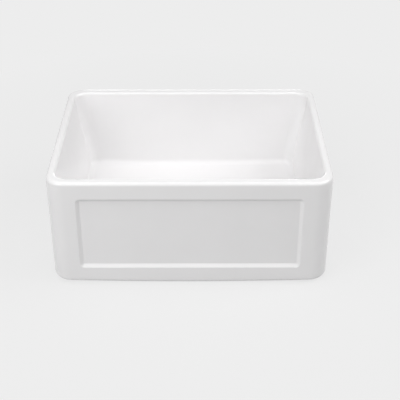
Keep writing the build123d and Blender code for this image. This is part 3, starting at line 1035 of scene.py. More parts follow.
    def panel_depth(self, x: np.ndarray, z: np.ndarray) -> np.ndarray:
        """How deep the apron's panel lies behind its face at these places.

        Args:
            x: places across the sink.
            z: their heights.

        Returns:
            The depth at each.
        """
        low, high = self.panel_bottom_margin, self.high.z - self.panel_top_margin
        half = np.array([self.high.x - self.panel_side_margin, (high - low) / 2])
        past = np.abs(np.stack([x, z - (low + high) / 2], axis=-1)) - (half - self.panel_corner)
        outside = np.linalg.norm(np.maximum(past, 0), axis=-1) + np.minimum(past.max(axis=-1), 0)
        inside = self.panel_corner - outside
        slope = math.atan2(self.panel_sink, self.panel_bevel)
        radius = self.panel_softening
        reach = radius * math.tan(slope / 2)
        start = np.clip(inside + reach, 0, radius * math.sin(slope))
        end = np.clip(self.panel_bevel + reach - inside, 0, radius * math.sin(slope))
        from_face = radius - np.sqrt(radius**2 - start**2)
        from_panel = self.panel_sink - (radius - np.sqrt(radius**2 - end**2))
        on_slope = inside * math.tan(slope)
        depth = np.where(inside < reach * math.cos(slope), from_face, on_slope)
        return np.where(inside > self.panel_bevel - reach * math.cos(slope), from_panel, depth)

    def floor_height(self, place: np.ndarray) -> np.ndarray:
        """Height of the dished floor at these places."""
        away = place - np.array([DRAIN.x, DRAIN.y])
        return self.floor_level + (away**2).sum(axis=-1) / (2 * self.floor_dish)

    def wall_levels(self) -> np.ndarray:
        """Heights of the rows of the outer wall that lie level.

        Returns:
            The heights, from the bottom up.
        """
        low, high = self.panel_bottom_margin, self.high.z - self.panel_top_margin
        bottom = np.arange(low - self.slope_above, low + self.slope_inside, self.slope_step)
        top = np.arange(high - self.slope_inside, high + self.slope_above, self.slope_step)
        between = np.linspace(bottom[-1], top[0], self.panel_rows)[1:-1]
        above = np.array(self.top_shares) * (self.high.z - self.rim_outer - top[-1]) + top[-1]
        return np.concatenate([bottom, between, top, above])

    def outer_rows(self) -> list[np.ndarray]:
        """Rows from the edge of the foot, under the base, up the wall and over the rim's outer edge.

        Returns:
            The rows, in order.
        """
        ring, normal = self.ring(self.outside())
        skirt = self.skirt(ring[:, 0])
        rows = []

        def row(inset: float, height: np.ndarray | float) -> None:
            """Adds a row at this inset from the outside.

            Args:
                inset: how far inside.
                height: its height, for all its points or for each.
            """
            place = ring - normal * inset
            level = np.broadcast_to(np.asarray(height, float), skirt.shape)
            rows.append(np.column_stack([place, level]))

        soft = self.foot_rounding
        for turn in np.linspace(0, math.pi / 2, self.foot_rows):
            row(self.foot_inset + soft * (1 - math.sin(turn)), soft * (1 - math.cos(turn)))
        row(self.foot_inset, skirt)
        row((self.foot_inset + self.base_rounding) / 2, skirt)
        for turn in np.linspace(0, math.pi / 2, self.base_rows):
            rise = self.base_rounding * (1 - math.cos(turn))
            row(self.base_rounding * (1 - math.sin(turn)), skirt + rise)
        levels = self.wall_levels()
        base = skirt + self.base_rounding
        for share in self.skirt_shares:
            row(0.0, base + (levels[0] - base) * share)
        for level in levels:
            row(0.0, level)
            rows[-1][:, 1] += self.panel_shift(ring, level)
        for turn in np.linspace(0, math.pi / 2, self.rim_rows):
            lift = self.high.z - self.rim_outer * (1 - math.sin(turn))
            row(self.rim_outer * (1 - math.cos(turn)), lift)
        row(self.rim_outer + self.rim_land, self.high.z)
        return rows

    def panel_shift(self, ring: np.ndarray, level: float) -> np.ndarray:
        """How far the points of one row move back into the apron's panel.

        Args:
            ring: the points, seen from above.
            level: the row's height.

        Returns:
            The depth for each point, which is 0 off the front.
        """
        on_front = np.abs(ring[:, 1] - self.low.y) < MERGE_DISTANCE
        depth = self.panel_depth(ring[:, 0], np.full(len(ring), level))
        return np.where(on_front, depth, 0.0)

    def basin_rows(self) -> list[np.ndarray]:
        """Rows from the rim's land into the basin, down its walls and round the cove.

        Returns:
            The rows, in order.
        """
        mouth, normal = self.ring(self.basin_outline(self.high.z))
        foot, _ = self.ring(self.basin_outline(self.seat_level))
        drop = self.high.z - self.seat_level
        lean = np.arctan2(((mouth - foot) * normal).sum(axis=1), drop)
        tangent = self.rim_inner * np.tan((math.pi / 2 - lean) / 2)
        level = np.full(len(mouth), self.high.z)
        rows = [np.column_stack([mouth + normal * (tangent + self.rim_land)[:, None], level])]
        for share in np.linspace(0, 1, self.mouth_rows):
            turn = math.pi / 2 + (lean - math.pi / 2) * share
            place = mouth + normal * (tangent - self.rim_inner * np.cos(turn))[:, None]
            rows.append(np.column_stack([place, level - self.rim_inner * (1 - np.sin(turn))]))
        wall_top = rows[-1]

        middle = np.array([DRAIN.x, DRAIN.y])
        height = np.full(len(mouth), self.floor_level + self.cove)
        for _ in range(self.cove_rounds):
            touch = (self.high.z - height + self.cove * np.sin(lean)) / drop
            wall = mouth + (foot - mouth) * touch[:, None]
            centre = wall - normal * (self.cove * np.cos(lean))[:, None]
            away = (centre - middle) / self.floor_dish
            height = self.floor_height(centre) + self.cove * np.sqrt(1 + (away**2).sum(axis=1))
        out = np.column_stack([normal * np.cos(lean)[:, None], -np.sin(lean)])
        down = np.column_stack([away, -np.ones(len(mouth))])
        down /= np.linalg.norm(down, axis=1)[:, None]
        ball = np.column_stack([centre, height])
        wall_foot = ball + self.cove * out
        ends = self.wall_end_shares
        for share in [*ends[:2], *np.linspace(*self.plain_span, self.wall_rows), *ends[2:]]:
            rows.append(wall_top + (wall_foot - wall_top) * share)
        turn = np.arccos(np.clip((out * down).sum(axis=1), -1, 1))[:, None]
        for share in np.linspace(0, 1, self.cove_rows):
            arm = (np.sin((1 - share) * turn) * out + np.sin(share * turn) * down) / np.sin(turn)
            rows.append(ball + self.cove * arm)
        return rows

    def drain_rows(self, cove_foot: np.ndarray) -> list[np.ndarray]:
        """Rows over the floor to the drain, and down its seat and its hole to the hollow.

        Args:
            cove_foot: the row at the foot of the cove.

        Returns:
            The rows, in order.
        """
        middle = np.array([DRAIN.x, DRAIN.y])
        away = cove_foot[:, :2] - middle
        direction = away / np.linalg.norm(away, axis=1)[:, None]

        def circle(radius: float, height: float) -> np.ndarray:
            """A ring of points round the drain."""
            return np.column_stack([middle + radius * direction, np.full(len(direction), height)])

        rows = []
        lip_radius = self.seat_radius + self.seat_softening
        lip = middle + lip_radius * direction
        for share in self.floor_shares:
            place = cove_foot[:, :2] + (lip - cove_foot[:, :2]) * share
            rows.append(np.column_stack([place, self.floor_height(place)]))
        lip_height = float(self.floor_height(lip)[0])
        for turn in np.linspace(0, math.pi / 2, self.lip_rows):
            height = lip_height - self.seat_softening * (1 - math.cos(turn))
            rows.append(circle(lip_radius - self.seat_softening * math.sin(turn), height))
        section = rounded_outline(
            [
                (self.seat_radius, self.seat_level),
                (self.hole_radius, self.seat_level, self.hole_rounding),
                (self.hole_radius, self.hollow_top, self.hole_rounding),
                (self.seat_radius, self.hollow_top),
            ],
            closed=False,
        )
        return rows + [circle(radius, height) for radius, height in section]

    def hollow_rows(self, hole_edge: np.ndarray) -> list[np.ndarray]:
        """Rows over the hollow's roof, down its walls and on to the foot.

        Args:
            hole_edge: the row at the hole's lower edge.

        Returns:
            The rows, in order.
        """
        ring, normal = self.ring(self.hollow_outline())
        lean = self.hollow_top * math.tan(self.hollow_lean)
        section = rounded_outline(
            [
                (1.5 * self.hollow_rounding, self.hollow_top),
                (lean, self.hollow_top, self.hollow_rounding),
                (0.0, 0.0, self.hollow_edge),
                (-self.foot_width / 3, 0.0),
            ],
            closed=False,
        )
        walls = [
            np.column_stack([ring - normal * inset, np.full(len(ring), height)]) for inset, height in section
        ]
        roof = [hole_edge + (walls[0] - hole_edge) * share for share in self.roof_shares]
        return roof + walls

    def build(self) -> None:
        """Makes the whole skin as one closed mesh."""
        outer = self.outer_rows()
        basin = self.basin_rows()
        drain = self.drain_rows(basin[-1])
        hollow = self.hollow_rows(drain[-1])
        foot = [hollow[-1] + (outer[0] - hollow[-1]) * share for share in self.foot_shares]
        rows = np.array(foot + outer + basin + drain + hollow)
        faces = grid_faces(len(rows), rows.shape[1], True, True)
        sink = new_piece("sink_shell", rows.reshape(-1, 3), faces)
        finish_mesh(sink.data)
        dress(sink, Body.SINK, GLAZE, "sink_body")


# --- The fixed parts of the drain ---


@dataclass
class Strainer:
    """The flanged steel bowl in the drain, its seal, its cross bar and its threads."""

    flange_radius: float = 0.057
    flange_edge: float = 0.0010
    bowl_radius: float = 0.039
    bowl_wall: float = 0.0022
    bowl_depth: float = 0.053
    floor_fall: float = 0.004
    floor_rounding: float = 0.006
    flange_thickness: float = 0.0016
    neck_bore: float = 0.0195
    neck_wall: float = 0.0028
    thread_pitch: float = 0.0024
    ridge: float = 0.0012
    bowl_thread_drop: float = 0.006
    bowl_thread_length: float = 0.042
    neck_thread_length: float = 0.019
    ridge_share: float = 0.98
    flange_slope: float = 0.004
    seal_play: float = 0.0026
    seal_bulge: float = 0.0006
    bowl_steps: int = 128
    low: Vector = field(default_factory=lambda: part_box("strainer_body")[0])
    high: Vector = field(default_factory=lambda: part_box("strainer_body")[1])

    def build_bowl(self) -> None:
        """The flange, bowl and neck as one spun shell."""
        top, end = self.high.z, self.low.z
        under = top - self.flange_thickness
        floor_edge = top - self.bowl_depth
        floor = floor_edge - self.floor_fall
        thread_root = self.bowl_radius + self.bowl_wall
        neck_root = self.neck_bore + self.neck_wall
        bowl = turned_piece(
            "strainer_bowl",
            [
                (self.flange_radius, under, KEEN_EDGE),
                (self.flange_radius, under + self.flange_edge, CUT_EDGE),
                (self.flange_radius - self.flange_slope, top, 0.004),
                (self.bowl_radius, top, 0.006),
                (self.bowl_radius, floor_edge, self.floor_rounding),
                (self.neck_bore, floor, self.bowl_wall / 2),
                (self.neck_bore, end, CUT_EDGE),
                (neck_root, end, CUT_EDGE),
                (neck_root, floor - self.bowl_wall, self.bowl_wall),
                (thread_root, floor_edge - self.bowl_wall, self.floor_rounding),
                (thread_root, under, 0.0008),
            ],
            steps=self.bowl_steps,
        )
        dress(bowl, Body.SINK, STRAINER_STEEL, "strainer_body")

    def build_thread(self, name: str, root: float, foot: float, length: float) -> None:
        """Makes a helical thread on a root cylinder.

        Args:
            name: the object's name.
            root: the radius of the root.
            foot: its lowest height.
            length: its length.
        """
        thread = new_piece(name, [], [])
        thread_tree().apply(
            thread,
            {
                "Radius": root,
                "Pitch": self.thread_pitch,
                "Length": length,
                "Ridge": self.ridge * self.ridge_share,
                "Foot": Vector((DRAIN.x, DRAIN.y, foot)),
                "Material": STRAINER_STEEL.material(),
            },
        )
        finish_mesh(thread.data)
        dress(thread, Body.SINK, STRAINER_STEEL)

    def build(self) -> None:
        """Makes every fixed piece that is spun from steel, and the seal under the flange."""
        self.build_bowl()
        thread_top = self.high.z - self.flange_thickness - self.bowl_thread_drop
        bowl_foot, bowl_root = thread_top - self.bowl_thread_length, self.bowl_radius + self.bowl_wall
        neck_root, neck_length = self.neck_bore + self.neck_wall, self.neck_thread_length - self.ridge
        self.build_thread("bowl_thread", bowl_root, bowl_foot, self.bowl_thread_length)
        self.build_thread("neck_thread", neck_root, self.low.z + self.ridge, neck_length)
        low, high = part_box("flange_seal")
        inner = bowl_root + self.ridge + self.seal_play
        seal = turned_piece(
            "flange_seal_ring",
            [
                (inner, low.z, FINE_EDGE),
                (self.flange_radius - self.seal_bulge, low.z, KEEN_EDGE),
                (self.flange_radius, (low.z + high.z) / 2, EASED_EDGE),
                (self.flange_radius - self.seal_bulge, high.z, KEEN_EDGE),
                (inner, high.z, FINE_EDGE),
            ],
        )
        dress(seal, Body.SINK, GREY_RUBBER, "flange_seal")
        dress_node("cross_bar", STRAINER_STEEL)


@dataclass
class Clamp:
    """What holds the strainer under the base: rubber ring, fibre ring and lugged nut."""

    bore: float = 0.0428
    nut_bore: float = 0.0425
    nut_radius: float = 0.051
    nut_flange: float = 0.003
    lugs: int = 4
    lug_start: float = math.radians(45)
    lug_width: float = 0.012
    lug_reach: float = 0.060
    lug_taper: float = 0.0008
    lug_bite: float = 0.002
    lug_rounding: float = 0.0012
    lug_segments: int = 4
    steps: int = 112

    def ring(self, name: str, node: str, rounding: float, finish: Finish) -> None:
        """A flat ring with soft edges that stands for a node.

        Args:
            name: the object's name.
            node: the node.
            rounding: the radius of its edges.
            finish: its finish.
        """
        low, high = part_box(node)
        radius = high.x - DRAIN.x
        section = [
            (self.bore, low.z, rounding),
            (radius, low.z, rounding),
            (radius, high.z, rounding),
            (self.bore, high.z, rounding),
        ]
        dress(turned_piece(name, section, self.steps), Body.SINK, finish, node)

    def lug(self, low: float, high: float) -> bpy.types.Object:
        """One lug, a block that narrows a little outwards, with soft edges.

        Args:
            low: its lowest height.
            high: its highest.

        Returns:
            The lug as an object.
        """
        half, tip = self.lug_width / 2, self.lug_width / 2 - self.lug_taper
        start = self.nut_radius - self.lug_bite
        plan = [(start, -half), (self.lug_reach, -tip), (self.lug_reach, tip), (start, half)]
        points = [(DRAIN.x + x, DRAIN.y + y, z) for z in (low, high) for x, y in plan]
        faces = [(3, 2, 1, 0), (4, 5, 6, 7), (0, 1, 5, 4), (1, 2, 6, 5), (2, 3, 7, 6), (3, 0, 4, 7)]
        block = new_piece("locknut_lugs", points, faces)
        bevel = block.modifiers.new("soft edges", "BEVEL")
        bevel.width = self.lug_rounding
        bevel.segments = self.lug_segments
        bevel.limit_method = "ANGLE"
        bake(block)
        return block

    def build(self) -> None:
        """Makes the two rings and the nut with its lugs."""
        self.ring("gasket_ring", "sink_gasket", 0.0009, BLACK_RUBBER)
        self.ring("friction_ring", "friction_washer", 0.0002, FIBRE)
        low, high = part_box("locknut")
        flange_radius = high.x - DRAIN.x
        flange_end = high.z - self.nut_flange
        nut = turned_piece(
            "locknut_ring",
            [
                (self.nut_bore, low.z, SOFT_EDGE),
                (self.nut_radius, low.z, SOFT_EDGE),
                (self.nut_radius, flange_end, ROUND_EDGE),
                (flange_radius, flange_end, 0.0007),
                (flange_radius, high.z, CUT_EDGE),
                (self.nut_bore, high.z, CUT_EDGE),
            ],
            steps=self.steps,
        )
        dress(nut, Body.SINK, ZINC, "locknut")
        lugs = self.lug(low.z, high.z)
        values = {"Count": self.lugs, "Centre": DRAIN, "Start": self.lug_start, "Material": ZINC.material()}
        ring_array_tree().apply(lugs, values)
        finish_mesh(lugs.data)
        dress(lugs, Body.SINK, ZINC)


@dataclass
class Outlet:
    """The nylon washer, the ribbed coupling nut and the chromed tailpiece."""

    tube_radius: float = 0.01905
    tube_wall: float = 0.0012
    lip_thickness: float = 0.0015
    spigot_wall: float = 0.0011
    spigot_play: float = 0.00015
    washer_thickness: float = 0.0025
    nut_radius: float = 0.0267
    nut_bore: float = 0.0236
    nut_lip: float = 0.003
    nut_lip_bore: float = 0.01995
    rib_radius: float = 0.0031
    ribs: int = 10
    rib_steps: int = 20

    def build_washer(self) -> None:
        """The flanged washer whose spigot centres the tube."""
        low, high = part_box("tailpiece_washer")
        outer = self.tube_radius - self.tube_wall - self.spigot_play
        inner = outer - self.spigot_wall
        flange = high.z - self.washer_thickness
        section = [
            (inner, low.z, KEEN_EDGE),
            (outer, low.z, KEEN_EDGE),
            (outer, flange, KEEN_EDGE),
            (high.x - DRAIN.x, flange, FINE_EDGE),
            (high.x - DRAIN.x, high.z, FINE_EDGE),
            (inner, high.z, FINE_EDGE),
        ]
        dress(turned_piece("outlet_washer", section), Body.SINK, NYLON, "tailpiece_washer")

    def build_tube(self) -> None:
        """The chromed tube with its flared lip."""
        low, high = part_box("tailpiece")
        bore = self.tube_radius - self.tube_wall
        section = [
            (bore, high.z, EASED_EDGE),
            (high.x - DRAIN.x, high.z, CUT_EDGE),
            (high.x - DRAIN.x, high.z - self.lip_thickness, CUT_EDGE),
            (self.tube_radius, high.z - self.lip_thickness, EASED_EDGE),
            (self.tube_radius, low.z, FINE_EDGE),
            (bore, low.z, FINE_EDGE),
        ]
        dress(turned_piece("outlet_tube", section), Body.SINK, CHROME, "tailpiece")

    def build_nut(self) -> None:
        """The coupling nut, with its grip ribs joined to it."""
        low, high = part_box("coupling_nut")
        nut = turned_piece(
            "coupling_ring",
            [
                (self.nut_lip_bore, low.z, EASED_EDGE),
                (self.nut_radius, low.z, ROUND_EDGE),
                (self.nut_radius, high.z, ROUND_EDGE),
                (self.nut_bore, high.z, EASED_EDGE),
                (self.nut_bore, low.z + self.nut_lip, KEEN_EDGE),
                (self.nut_lip_bore, low.z + self.nut_lip, KEEN_EDGE),
            ],
        )
        dress(nut, Body.SINK, CHROME, "coupling_nut")
        outline = rounded_outline(
            [
                (0.0, low.z),
                (self.rib_radius, low.z, ROUND_EDGE),
                (self.rib_radius, high.z, ROUND_EDGE),
                (0.0, high.z),
            ],
            closed=False,
        )
        rows = round_ring(outline, self.rib_steps)
        rows[..., 0] += self.nut_radius
        faces = grid_faces(len(rows), self.rib_steps, False, True)
        rib = new_piece("coupling_ribs", rows.reshape(-1, 3), faces)
        finish_mesh(rib.data)
        values = {"Count": self.ribs, "Centre": DRAIN, "Start": 0.0, "Material": CHROME.material()}
        ring_array_tree().apply(rib, values)
        finish_mesh(rib.data)
        dress(rib, Body.SINK, CHROME)

    def build(self) -> None:
        """Makes the washer, the tube and the nut."""
        self.build_washer()
        self.build_tube()
        self.build_nut()


# --- The basket and its stopper ---


@dataclass
class BasketCup:
    """The perforated steel basket: slots round its wall and two rings of holes in its base."""

    sheet: float = 0.0009
    hub_radius: float = 0.00375
    hub_height: float = 0.0040
    base_corner: float = 0.0236
    base_rounding: float = 0.0034
    mouth_radius: float = 0.03645
    bead: float = 0.00065
    slots: int = 20
    slot_width: float = 0.003
    slot_length: float = 0.017
    slot_margin: float = 0.002
    hole_radius: float = 0.002
    outer_holes: int = 14
    outer_hole_ring: float = 0.0185
    inner_holes: int = 8
    inner_hole_ring: float = 0.0115
    zone_edges: tuple[float, float, float] = (0.0085, 0.0150, 0.0210)
    layer_shares: tuple[float, float, float] = (0.0, 0.3, 1.0)
    slot_sides: int = 16
    hole_sides: int = 8
    steps: int = 280
    low: Vector = field(default_factory=lambda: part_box("basket_cup")[0])
    high: Vector = field(default_factory=lambda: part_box("basket_cup")[1])

    def base_level(self) -> float:
        """Height of the middle of the base's sheet."""
        return self.low.z + self.sheet / 2

    def wall_radius(self, height: np.ndarray) -> np.ndarray:
        """Radius of the middle of the leaning wall's sheet at these heights.

        Args:
            height: the heights.

        Returns:
            The radius at each.
        """
        top = self.high.z - 2 * self.bead
        share = (height - self.base_level()) / (top - self.base_level())
        return self.base_corner + (self.mouth_radius - self.base_corner) * share

    def border(self, columns: int, sides: int) -> list[tuple[float, float]]:
        """Points round a square from -1 to 1.

        Args:
            columns: the steps across.
            sides: the steps up.

        Returns:
            The points, in order.
        """
        across = np.linspace(-1, 1, columns + 1)
        up = np.linspace(-1, 1, sides + 1)
        return (
            [(x, -1.0) for x in across[:-1]]
            + [(1.0, y) for y in up[:-1]]
            + [(x, 1.0) for x in across[:0:-1]]
            + [(-1.0, y) for y in up[:0:-1]]
        )

    def slot_zone(self) -> tuple[float, float]:
        """Height of the middle of the slots, and how far their patches reach up and down from it."""
        return (self.low.z + self.high.z) / 2, self.slot_length / 2 + self.slot_margin

    def module(
        self,
        name: str,
        inner: list[np.ndarray],
        outer: list[np.ndarray],
        place: Callable[[np.ndarray], tuple[float, float, float]],
    ) -> bpy.types.Object:
        """A patch of sheet between a hole and its border.

        Args:
            name: the name of the object.
            inner: points on the edge of the hole.
            outer: the matching points on the border.
            place: turns a point of the patch into a point in space.

        Returns:
            The patch as an object.
        """
        pairs = list(zip(inner, outer))
        layers = [[first + (last - first) * share for first, last in pairs] for share in self.layer_shares]
        points = [place(point) for layer in layers for point in layer]
        return new_piece(name, points, grid_faces(len(layers), len(inner), False, True))

    def slot_module(self) -> bpy.types.Object:
        """The patch of wall round one slot.

        Returns:
            The patch as an object.
        """
        middle, reach = self.slot_zone()
        cap = (self.slot_length - self.slot_width) / 2
        half_turn = math.pi / self.slots
        half_width = half_turn * float(self.wall_radius(np.array(middle)))
        outer, inner = [], []
        for x, y in self.border(self.steps // self.slots, self.slot_sides):
            edge = np.array([x * half_width, y * reach])
            spine = np.array([0.0, float(np.clip(edge[1], -cap, cap))])
            arm = edge - spine
            outer.append(edge)
            inner.append(spine + arm / np.linalg.norm(arm) * self.slot_width / 2)

        def place(point: np.ndarray) -> tuple[float, float, float]:
            """Bends the patch on to the leaning wall.

            Args:
                point: a point of the patch.

            Returns:
                Its place in space.
            """
            height = middle + point[1]
            radius = float(self.wall_radius(np.array(height)))
            turn = point[0] / half_width * half_turn
            return (DRAIN.x + radius * math.cos(turn), DRAIN.y + radius * math.sin(turn), height)

        return self.module("slots", inner, outer, place)

    def hole_module(self, name: str, count: int, ring: float, near: float, far: float) -> bpy.types.Object:
        """The patch of base round one hole.

        Args:
            name: the object's name.
            count: how many holes are in its ring.
            ring: the radius of that ring.
            near: the patch's inner radius.
            far: its outer radius.

        Returns:
            The patch as an object.
        """
        half_turn = math.pi / count
        outer, inner = [], []
        centre = np.array([ring, 0.0])
        for x, y in self.border(self.steps // count, self.hole_sides):
            radius = near + (far - near) * (y + 1) / 2
            edge = np.array([radius * math.cos(x * half_turn), radius * math.sin(x * half_turn)])
            arm = edge - centre
            outer.append(edge)
            inner.append(centre + arm / np.linalg.norm(arm) * self.hole_radius)
        level = self.base_level()

        def place(point: np.ndarray) -> tuple[float, float, float]:
            """Lays the patch in the base."""
            return (DRAIN.x + point[0], DRAIN.y + point[1], level)

        return self.module(name, inner, outer, place)

    def strip(self, name: str, corners: Sequence[Corner]) -> bpy.types.Object:
        """A plain turned strip of sheet, whose points meet those of the patches.

        Args:
            name: the object's name.
            corners: its section, as rounded_outline takes it.

        Returns:
            The strip as an object.
        """
        outline = rounded_outline(corners, closed=False)
        rows = round_ring(outline, self.steps)
        half_step = math.pi / self.slots
        turn = Matrix.Translation(DRAIN) @ Matrix.Rotation(half_step, 4, "Z") @ Matrix.Translation(-DRAIN)
        points = [turn @ Vector(point) for point in rows.reshape(-1, 3)]
        return new_piece(name, points, grid_faces(len(rows), self.steps, False, True))

    def build(self) -> None:
        """Makes the patches and strips, joins them and gives the sheet its thickness."""
        level = self.base_level()
        middle, reach = self.slot_zone()
        near, between, far = self.zone_edges
        slots = self.slot_module()
        outer_holes = self.hole_module("outer_holes", self.outer_holes, self.outer_hole_ring, between, far)
        inner_holes = self.hole_module("inner_holes", self.inner_holes, self.inner_hole_ring, near, between)
        tree = ring_array_tree()
        arrays = ((slots, self.slots), (outer_holes, self.outer_holes), (inner_holes, self.inner_holes))
        for patch, count in arrays:
            start = math.pi / self.slots - math.pi / count
            values = {"Count": count, "Centre": DRAIN, "Start": start, "Material": BASKET_STEEL.material()}
            tree.apply(patch, values)

        def at(height: float) -> tuple[float, float]:
            """A point of the leaning wall."""
            return (float(self.wall_radius(np.array(height))), height)

        hub_top = self.low.z + self.hub_height - self.sheet / 2
        cup = self.strip(
            "hub", [(self.hub_radius, hub_top), (self.hub_radius, level, ROUND_EDGE), (near, level)]
        )
        foot = self.strip(
            "foot", [(far, level), (self.base_corner, level, self.base_rounding), at(middle - reach)]
        )
        top = self.high.z - self.sheet / 2
        bead = self.strip(
            "bead",
            [
                at(middle + reach),
                at(top - 2 * self.bead),
                (self.mouth_radius, top, self.bead),
                (self.mouth_radius + 2 * self.bead, top, self.bead),
                (self.mouth_radius + 2 * self.bead, top - 2.2 * self.bead),
            ],
        )
        join_meshes(cup, [foot, bead, slots, outer_holes, inner_holes])
        cup.name = "basket_sheet"
        finish_mesh(cup.data)
        solid = cup.modifiers.new("sheet", "SOLIDIFY")
        solid.thickness = self.sheet
        solid.offset = 0.0
        bake(cup)
        finish_mesh(cup.data)
        dress(cup, Body.BASKET, BASKET_STEEL, "basket_cup")


@dataclass
class Stopper:
    """The post with its knob, plate and rubber disc, which lift out with the basket."""

    post_radius: float = 0.003
    collar_radius: float = 0.0055
    collar_height: float = 0.0012
    tip_radius: float = 0.0022
    tip_length: float = 0.010
    knob_neck: float = 0.0046
    knob_head: float = 0.006
    disc_fall_start: float = 0.0195
    disc_edge_fall: float = 0.00215
    post_steps: int = 40
    steel_steps: int = 72

    def build_post(self) -> None:
        """The rod, with its collar and its thin tip."""
        low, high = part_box("basket_post")
        collar_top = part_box("basket_knob")[0].z
        tip_top = low.z + self.tip_length
        section = [
            (0.0, high.z),
            (self.post_radius, high.z, FINE_EDGE),
            (self.post_radius, collar_top),
            (self.collar_radius, collar_top, KEEN_EDGE),
            (self.collar_radius, collar_top - self.collar_height, KEEN_EDGE),
            (self.post_radius, collar_top - self.collar_height),
            (self.post_radius, tip_top, KEEN_EDGE),
            (self.tip_radius, tip_top),
            (self.tip_radius, low.z, EASED_EDGE),
            (0.0, low.z),
        ]
        post = turned_piece("stopper_post", section, self.post_steps)
        dress(post, Body.STOPPER, BASKET_STEEL, "basket_post")

    def build_knob(self) -> None:
        """The mushroom knob, with a hollow neck and a domed head."""
        low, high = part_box("basket_knob")
        radius = high.x - DRAIN.x
        head = high.z - self.knob_head
        waist = (low.z + head) / 2
        section = [
            (0.0, low.z),
            (self.knob_neck + 0.0012, low.z, 0.0008),
            (self.knob_neck + 0.0008, low.z + 0.003, 0.004),
            (self.knob_neck, waist, 0.03),
            (self.knob_neck + 0.0010, head - 0.001, 0.003),
            (radius - 0.0010, head, 0.0008),
            (radius, head + 0.0012, SOFT_EDGE),
            (radius, head + 0.0032, 0.0016),
            (radius * 0.66, high.z - 0.0004, 0.008),
            (radius * 0.30, high.z, 0.01),
            (0.0, high.z),
        ]
        knob = turned_piece("basket_knob_head", section, self.steel_steps)
        dress(knob, Body.STOPPER, BASKET_STEEL, "basket_knob")

    def build_plate(self) -> None:
        """The steel washer over the rubber."""
        low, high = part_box("stopper_plate")
        radius = high.x - DRAIN.x
        section = [
            (self.post_radius, low.z),
            (radius, low.z, KEEN_EDGE),
            (radius, high.z, FINE_EDGE),
            (self.post_radius, high.z),
        ]
        plate = turned_piece("stopper_washer", section, self.steel_steps)
        dress(plate, Body.STOPPER, BASKET_STEEL, "stopper_plate")

    def build_disc(self) -> None:
        """The rubber disc, whose underside slopes with the floor of the bowl."""
        low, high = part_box("stopper_disc")
        radius = high.x - DRAIN.x
        section = [
            (self.post_radius, high.z),
            (radius, high.z, SOFT_EDGE),
            (radius, low.z + self.disc_edge_fall, SOFT_EDGE),
            (self.disc_fall_start, low.z, 0.002),
            (self.post_radius, low.z),
        ]
        dress(turned_piece("stopper_rubber", section), Body.STOPPER, BLACK_RUBBER, "stopper_disc")

    def build(self) -> None:
        """Makes every piece that lifts with the knob."""
        self.build_post()
        self.build_knob()
        self.build_plate()
        self.build_disc()
        dress_node("stopper_nut", BASKET_STEEL)
        dress_node("post_clip", BASKET_STEEL)


# --- The studio ---


@dataclass(frozen=True)
class Softbox:
    """A square lamp: its name, its place, the length of its side and its power in watts."""

    name: str
    place: tuple[float, float, float]
    size: float
    power: float


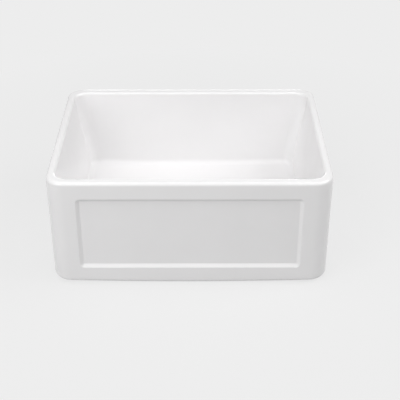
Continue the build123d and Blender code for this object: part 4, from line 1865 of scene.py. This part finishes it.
@dataclass
class Studio:
    """The camera, the pale floor and the soft light."""

    softboxes: tuple[Softbox, ...] = (
        Softbox("above_front", (0.0, -1.2, 2.0), 3.0, 26.4),
        Softbox("above_left", (-0.9, -0.3, 1.9), 1.0, 5.4),
        Softbox("left_front", (-1.8, -1.8, 1.4), 1.6, 24.1),
        Softbox("right", (1.8, -0.2, 1.8), 1.4, 23.0),
        Softbox("behind", (0.0, 2.8, 0.6), 1.2, 14.0),
    )
    lamp_target: tuple[float, float, float] = (0.0, 0.0, 0.1)
    camera_place: tuple[float, float, float] = (0.0216, -1.8227, 1.2044)
    camera_tilt: float = math.radians(58.171)
    camera_roll: float = math.radians(-0.065)
    lens: float = 81.62
    backdrop: float = 0.847
    sky: float = 0.16
    floor_rings: tuple[float, ...] = (14.0, 1.5, 0.4, 0.075)
    floor_steps: int = 64
    floor_bounce: float = 0.52
    floor_colour: Colour = (0.88, 0.88, 0.88)
    shadow_share: float = 0.16
    shadow_fade: tuple[float, float] = (0.45, 1.1)

    def build_camera(self) -> None:
        """Puts the camera where the photograph was taken from."""
        data = bpy.data.cameras.new("camera")
        data.lens = self.lens
        camera = bpy.data.objects.new("camera", data)
        bpy.context.scene.collection.objects.link(camera)
        tilt = Euler((self.camera_tilt, 0.0, 0.0)).to_matrix().to_4x4()
        roll = Matrix.Rotation(self.camera_roll, 4, "Z")
        camera.matrix_world = Matrix.Translation(self.camera_place) @ tilt @ roll
        bpy.context.scene.camera = camera

    def seen_mask(self, tree: NodeWiring) -> bpy.types.NodeSocket:
        """A mask that is 1 for what the camera sees straight, mirrored or through glass.

        Args:
            tree: the nodes to add to.

        Returns:
            The mask.
        """
        path = tree.add("ShaderNodeLightPath").outputs
        seen = tree.math("MAXIMUM", path["Is Camera Ray"], path["Is Glossy Ray"])
        return tree.math("MAXIMUM", seen, path["Is Transmission Ray"])

    def build_world(self) -> None:
        """An even pale sky, which looks like the floor and lights the sink much less than it looks."""
        world = bpy.data.worlds.new("studio")
        world.use_nodes = True
        bpy.context.scene.world = world
        tree = NodeWiring(world.node_tree)
        background = world.node_tree.nodes["Background"]
        background.inputs["Color"].default_value = (1.0, 1.0, 1.0, 1.0)
        strength = tree.spread(self.seen_mask(tree), self.sky, self.backdrop)
        tree.link(strength, background.inputs["Strength"])

    def floor_material(self) -> bpy.types.Material:
        """A floor that looks like the sky, keeps the sink's shadow and can't be seen from below.

        Returns:
            The material.
        """
        material = bpy.data.materials.new("pale_floor")
        material.use_nodes = True
        nodes = material.node_tree.nodes
        tree = NodeWiring(material.node_tree)
        nodes.remove(nodes["Principled BSDF"])
        away = tree.add("ShaderNodeVectorMath", {0: tree.place()}, operation="LENGTH").outputs["Value"]
        near = tree.spread(away, 1.0, 0.0, *self.shadow_fade)
        share = tree.math("MULTIPLY", near, self.shadow_share)
        lit = tree.add("ShaderNodeBsdfDiffuse", {"Color": opaque(self.floor_colour)})
        glow = tree.add("ShaderNodeEmission", {"Color": opaque((1.0, 1.0, 1.0)), "Strength": self.backdrop})
        seen = tree.add("ShaderNodeMixShader", {"Fac": share, 1: glow.outputs[0], 2: lit.outputs[0]})
        bounce = tree.add("ShaderNodeBsdfDiffuse", {"Color": opaque((self.floor_bounce,) * 3)})
        mask = self.seen_mask(tree)
        above = tree.add("ShaderNodeMixShader", {"Fac": mask, 1: bounce.outputs[0], 2: seen.outputs[0]})
        clear = tree.add("ShaderNodeBsdfTransparent")
        below = tree.add("ShaderNodeNewGeometry").outputs["Backfacing"]
        ends = tree.add("ShaderNodeMixShader", {"Fac": below, 1: above.outputs[0], 2: clear.outputs[0]})
        tree.link(ends.outputs[0], nodes["Material Output"].inputs["Surface"])
        return material

    def build_floor(self) -> None:
        """The deck that the sink stands on, with a round hole for the drain."""
        rows = round_ring(np.array([[radius, 0.0] for radius in self.floor_rings]), self.floor_steps)
        faces = grid_faces(len(rows), self.floor_steps, False, True)
        floor = new_piece("studio_floor", rows.reshape(-1, 3), faces)
        floor.data.materials.append(self.floor_material())
        floor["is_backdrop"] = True

    def add_softbox(self, softbox: Softbox) -> None:
        """Hangs one lamp so that it faces the sink.

        Args:
            softbox: the lamp.
        """
        data = bpy.data.lights.new(softbox.name, "AREA")
        data.size = softbox.size
        data.energy = softbox.power
        lamp = bpy.data.objects.new(softbox.name, data)
        bpy.context.scene.collection.objects.link(lamp)
        lamp.location = softbox.place
        aim = Vector(self.lamp_target) - Vector(softbox.place)
        lamp.rotation_euler = aim.to_track_quat("-Z", "Y").to_euler()

    def build(self) -> None:
        """Sets up the view, the camera, the floor and the light."""
        bpy.context.scene.view_settings.view_transform = "Standard"
        self.build_camera()
        self.build_world()
        self.build_floor()
        for softbox in self.softboxes:
            self.add_softbox(softbox)


def main() -> None:
    """Builds every class in order, and works out how large the dressed part is."""
    logging.basicConfig(level=logging.INFO, format="%(name)s: %(message)s")
    Studio().build()
    ApronSink().build()
    Strainer().build()
    Clamp().build()
    Outlet().build()
    BasketCup().build()
    Stopper().build()
    boxes = {"cad": CAD_BOX, "visual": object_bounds()}
    boxes = {label: [list(corner) for corner in box] for label, box in boxes.items()}


if __name__ == "__main__":
    main()
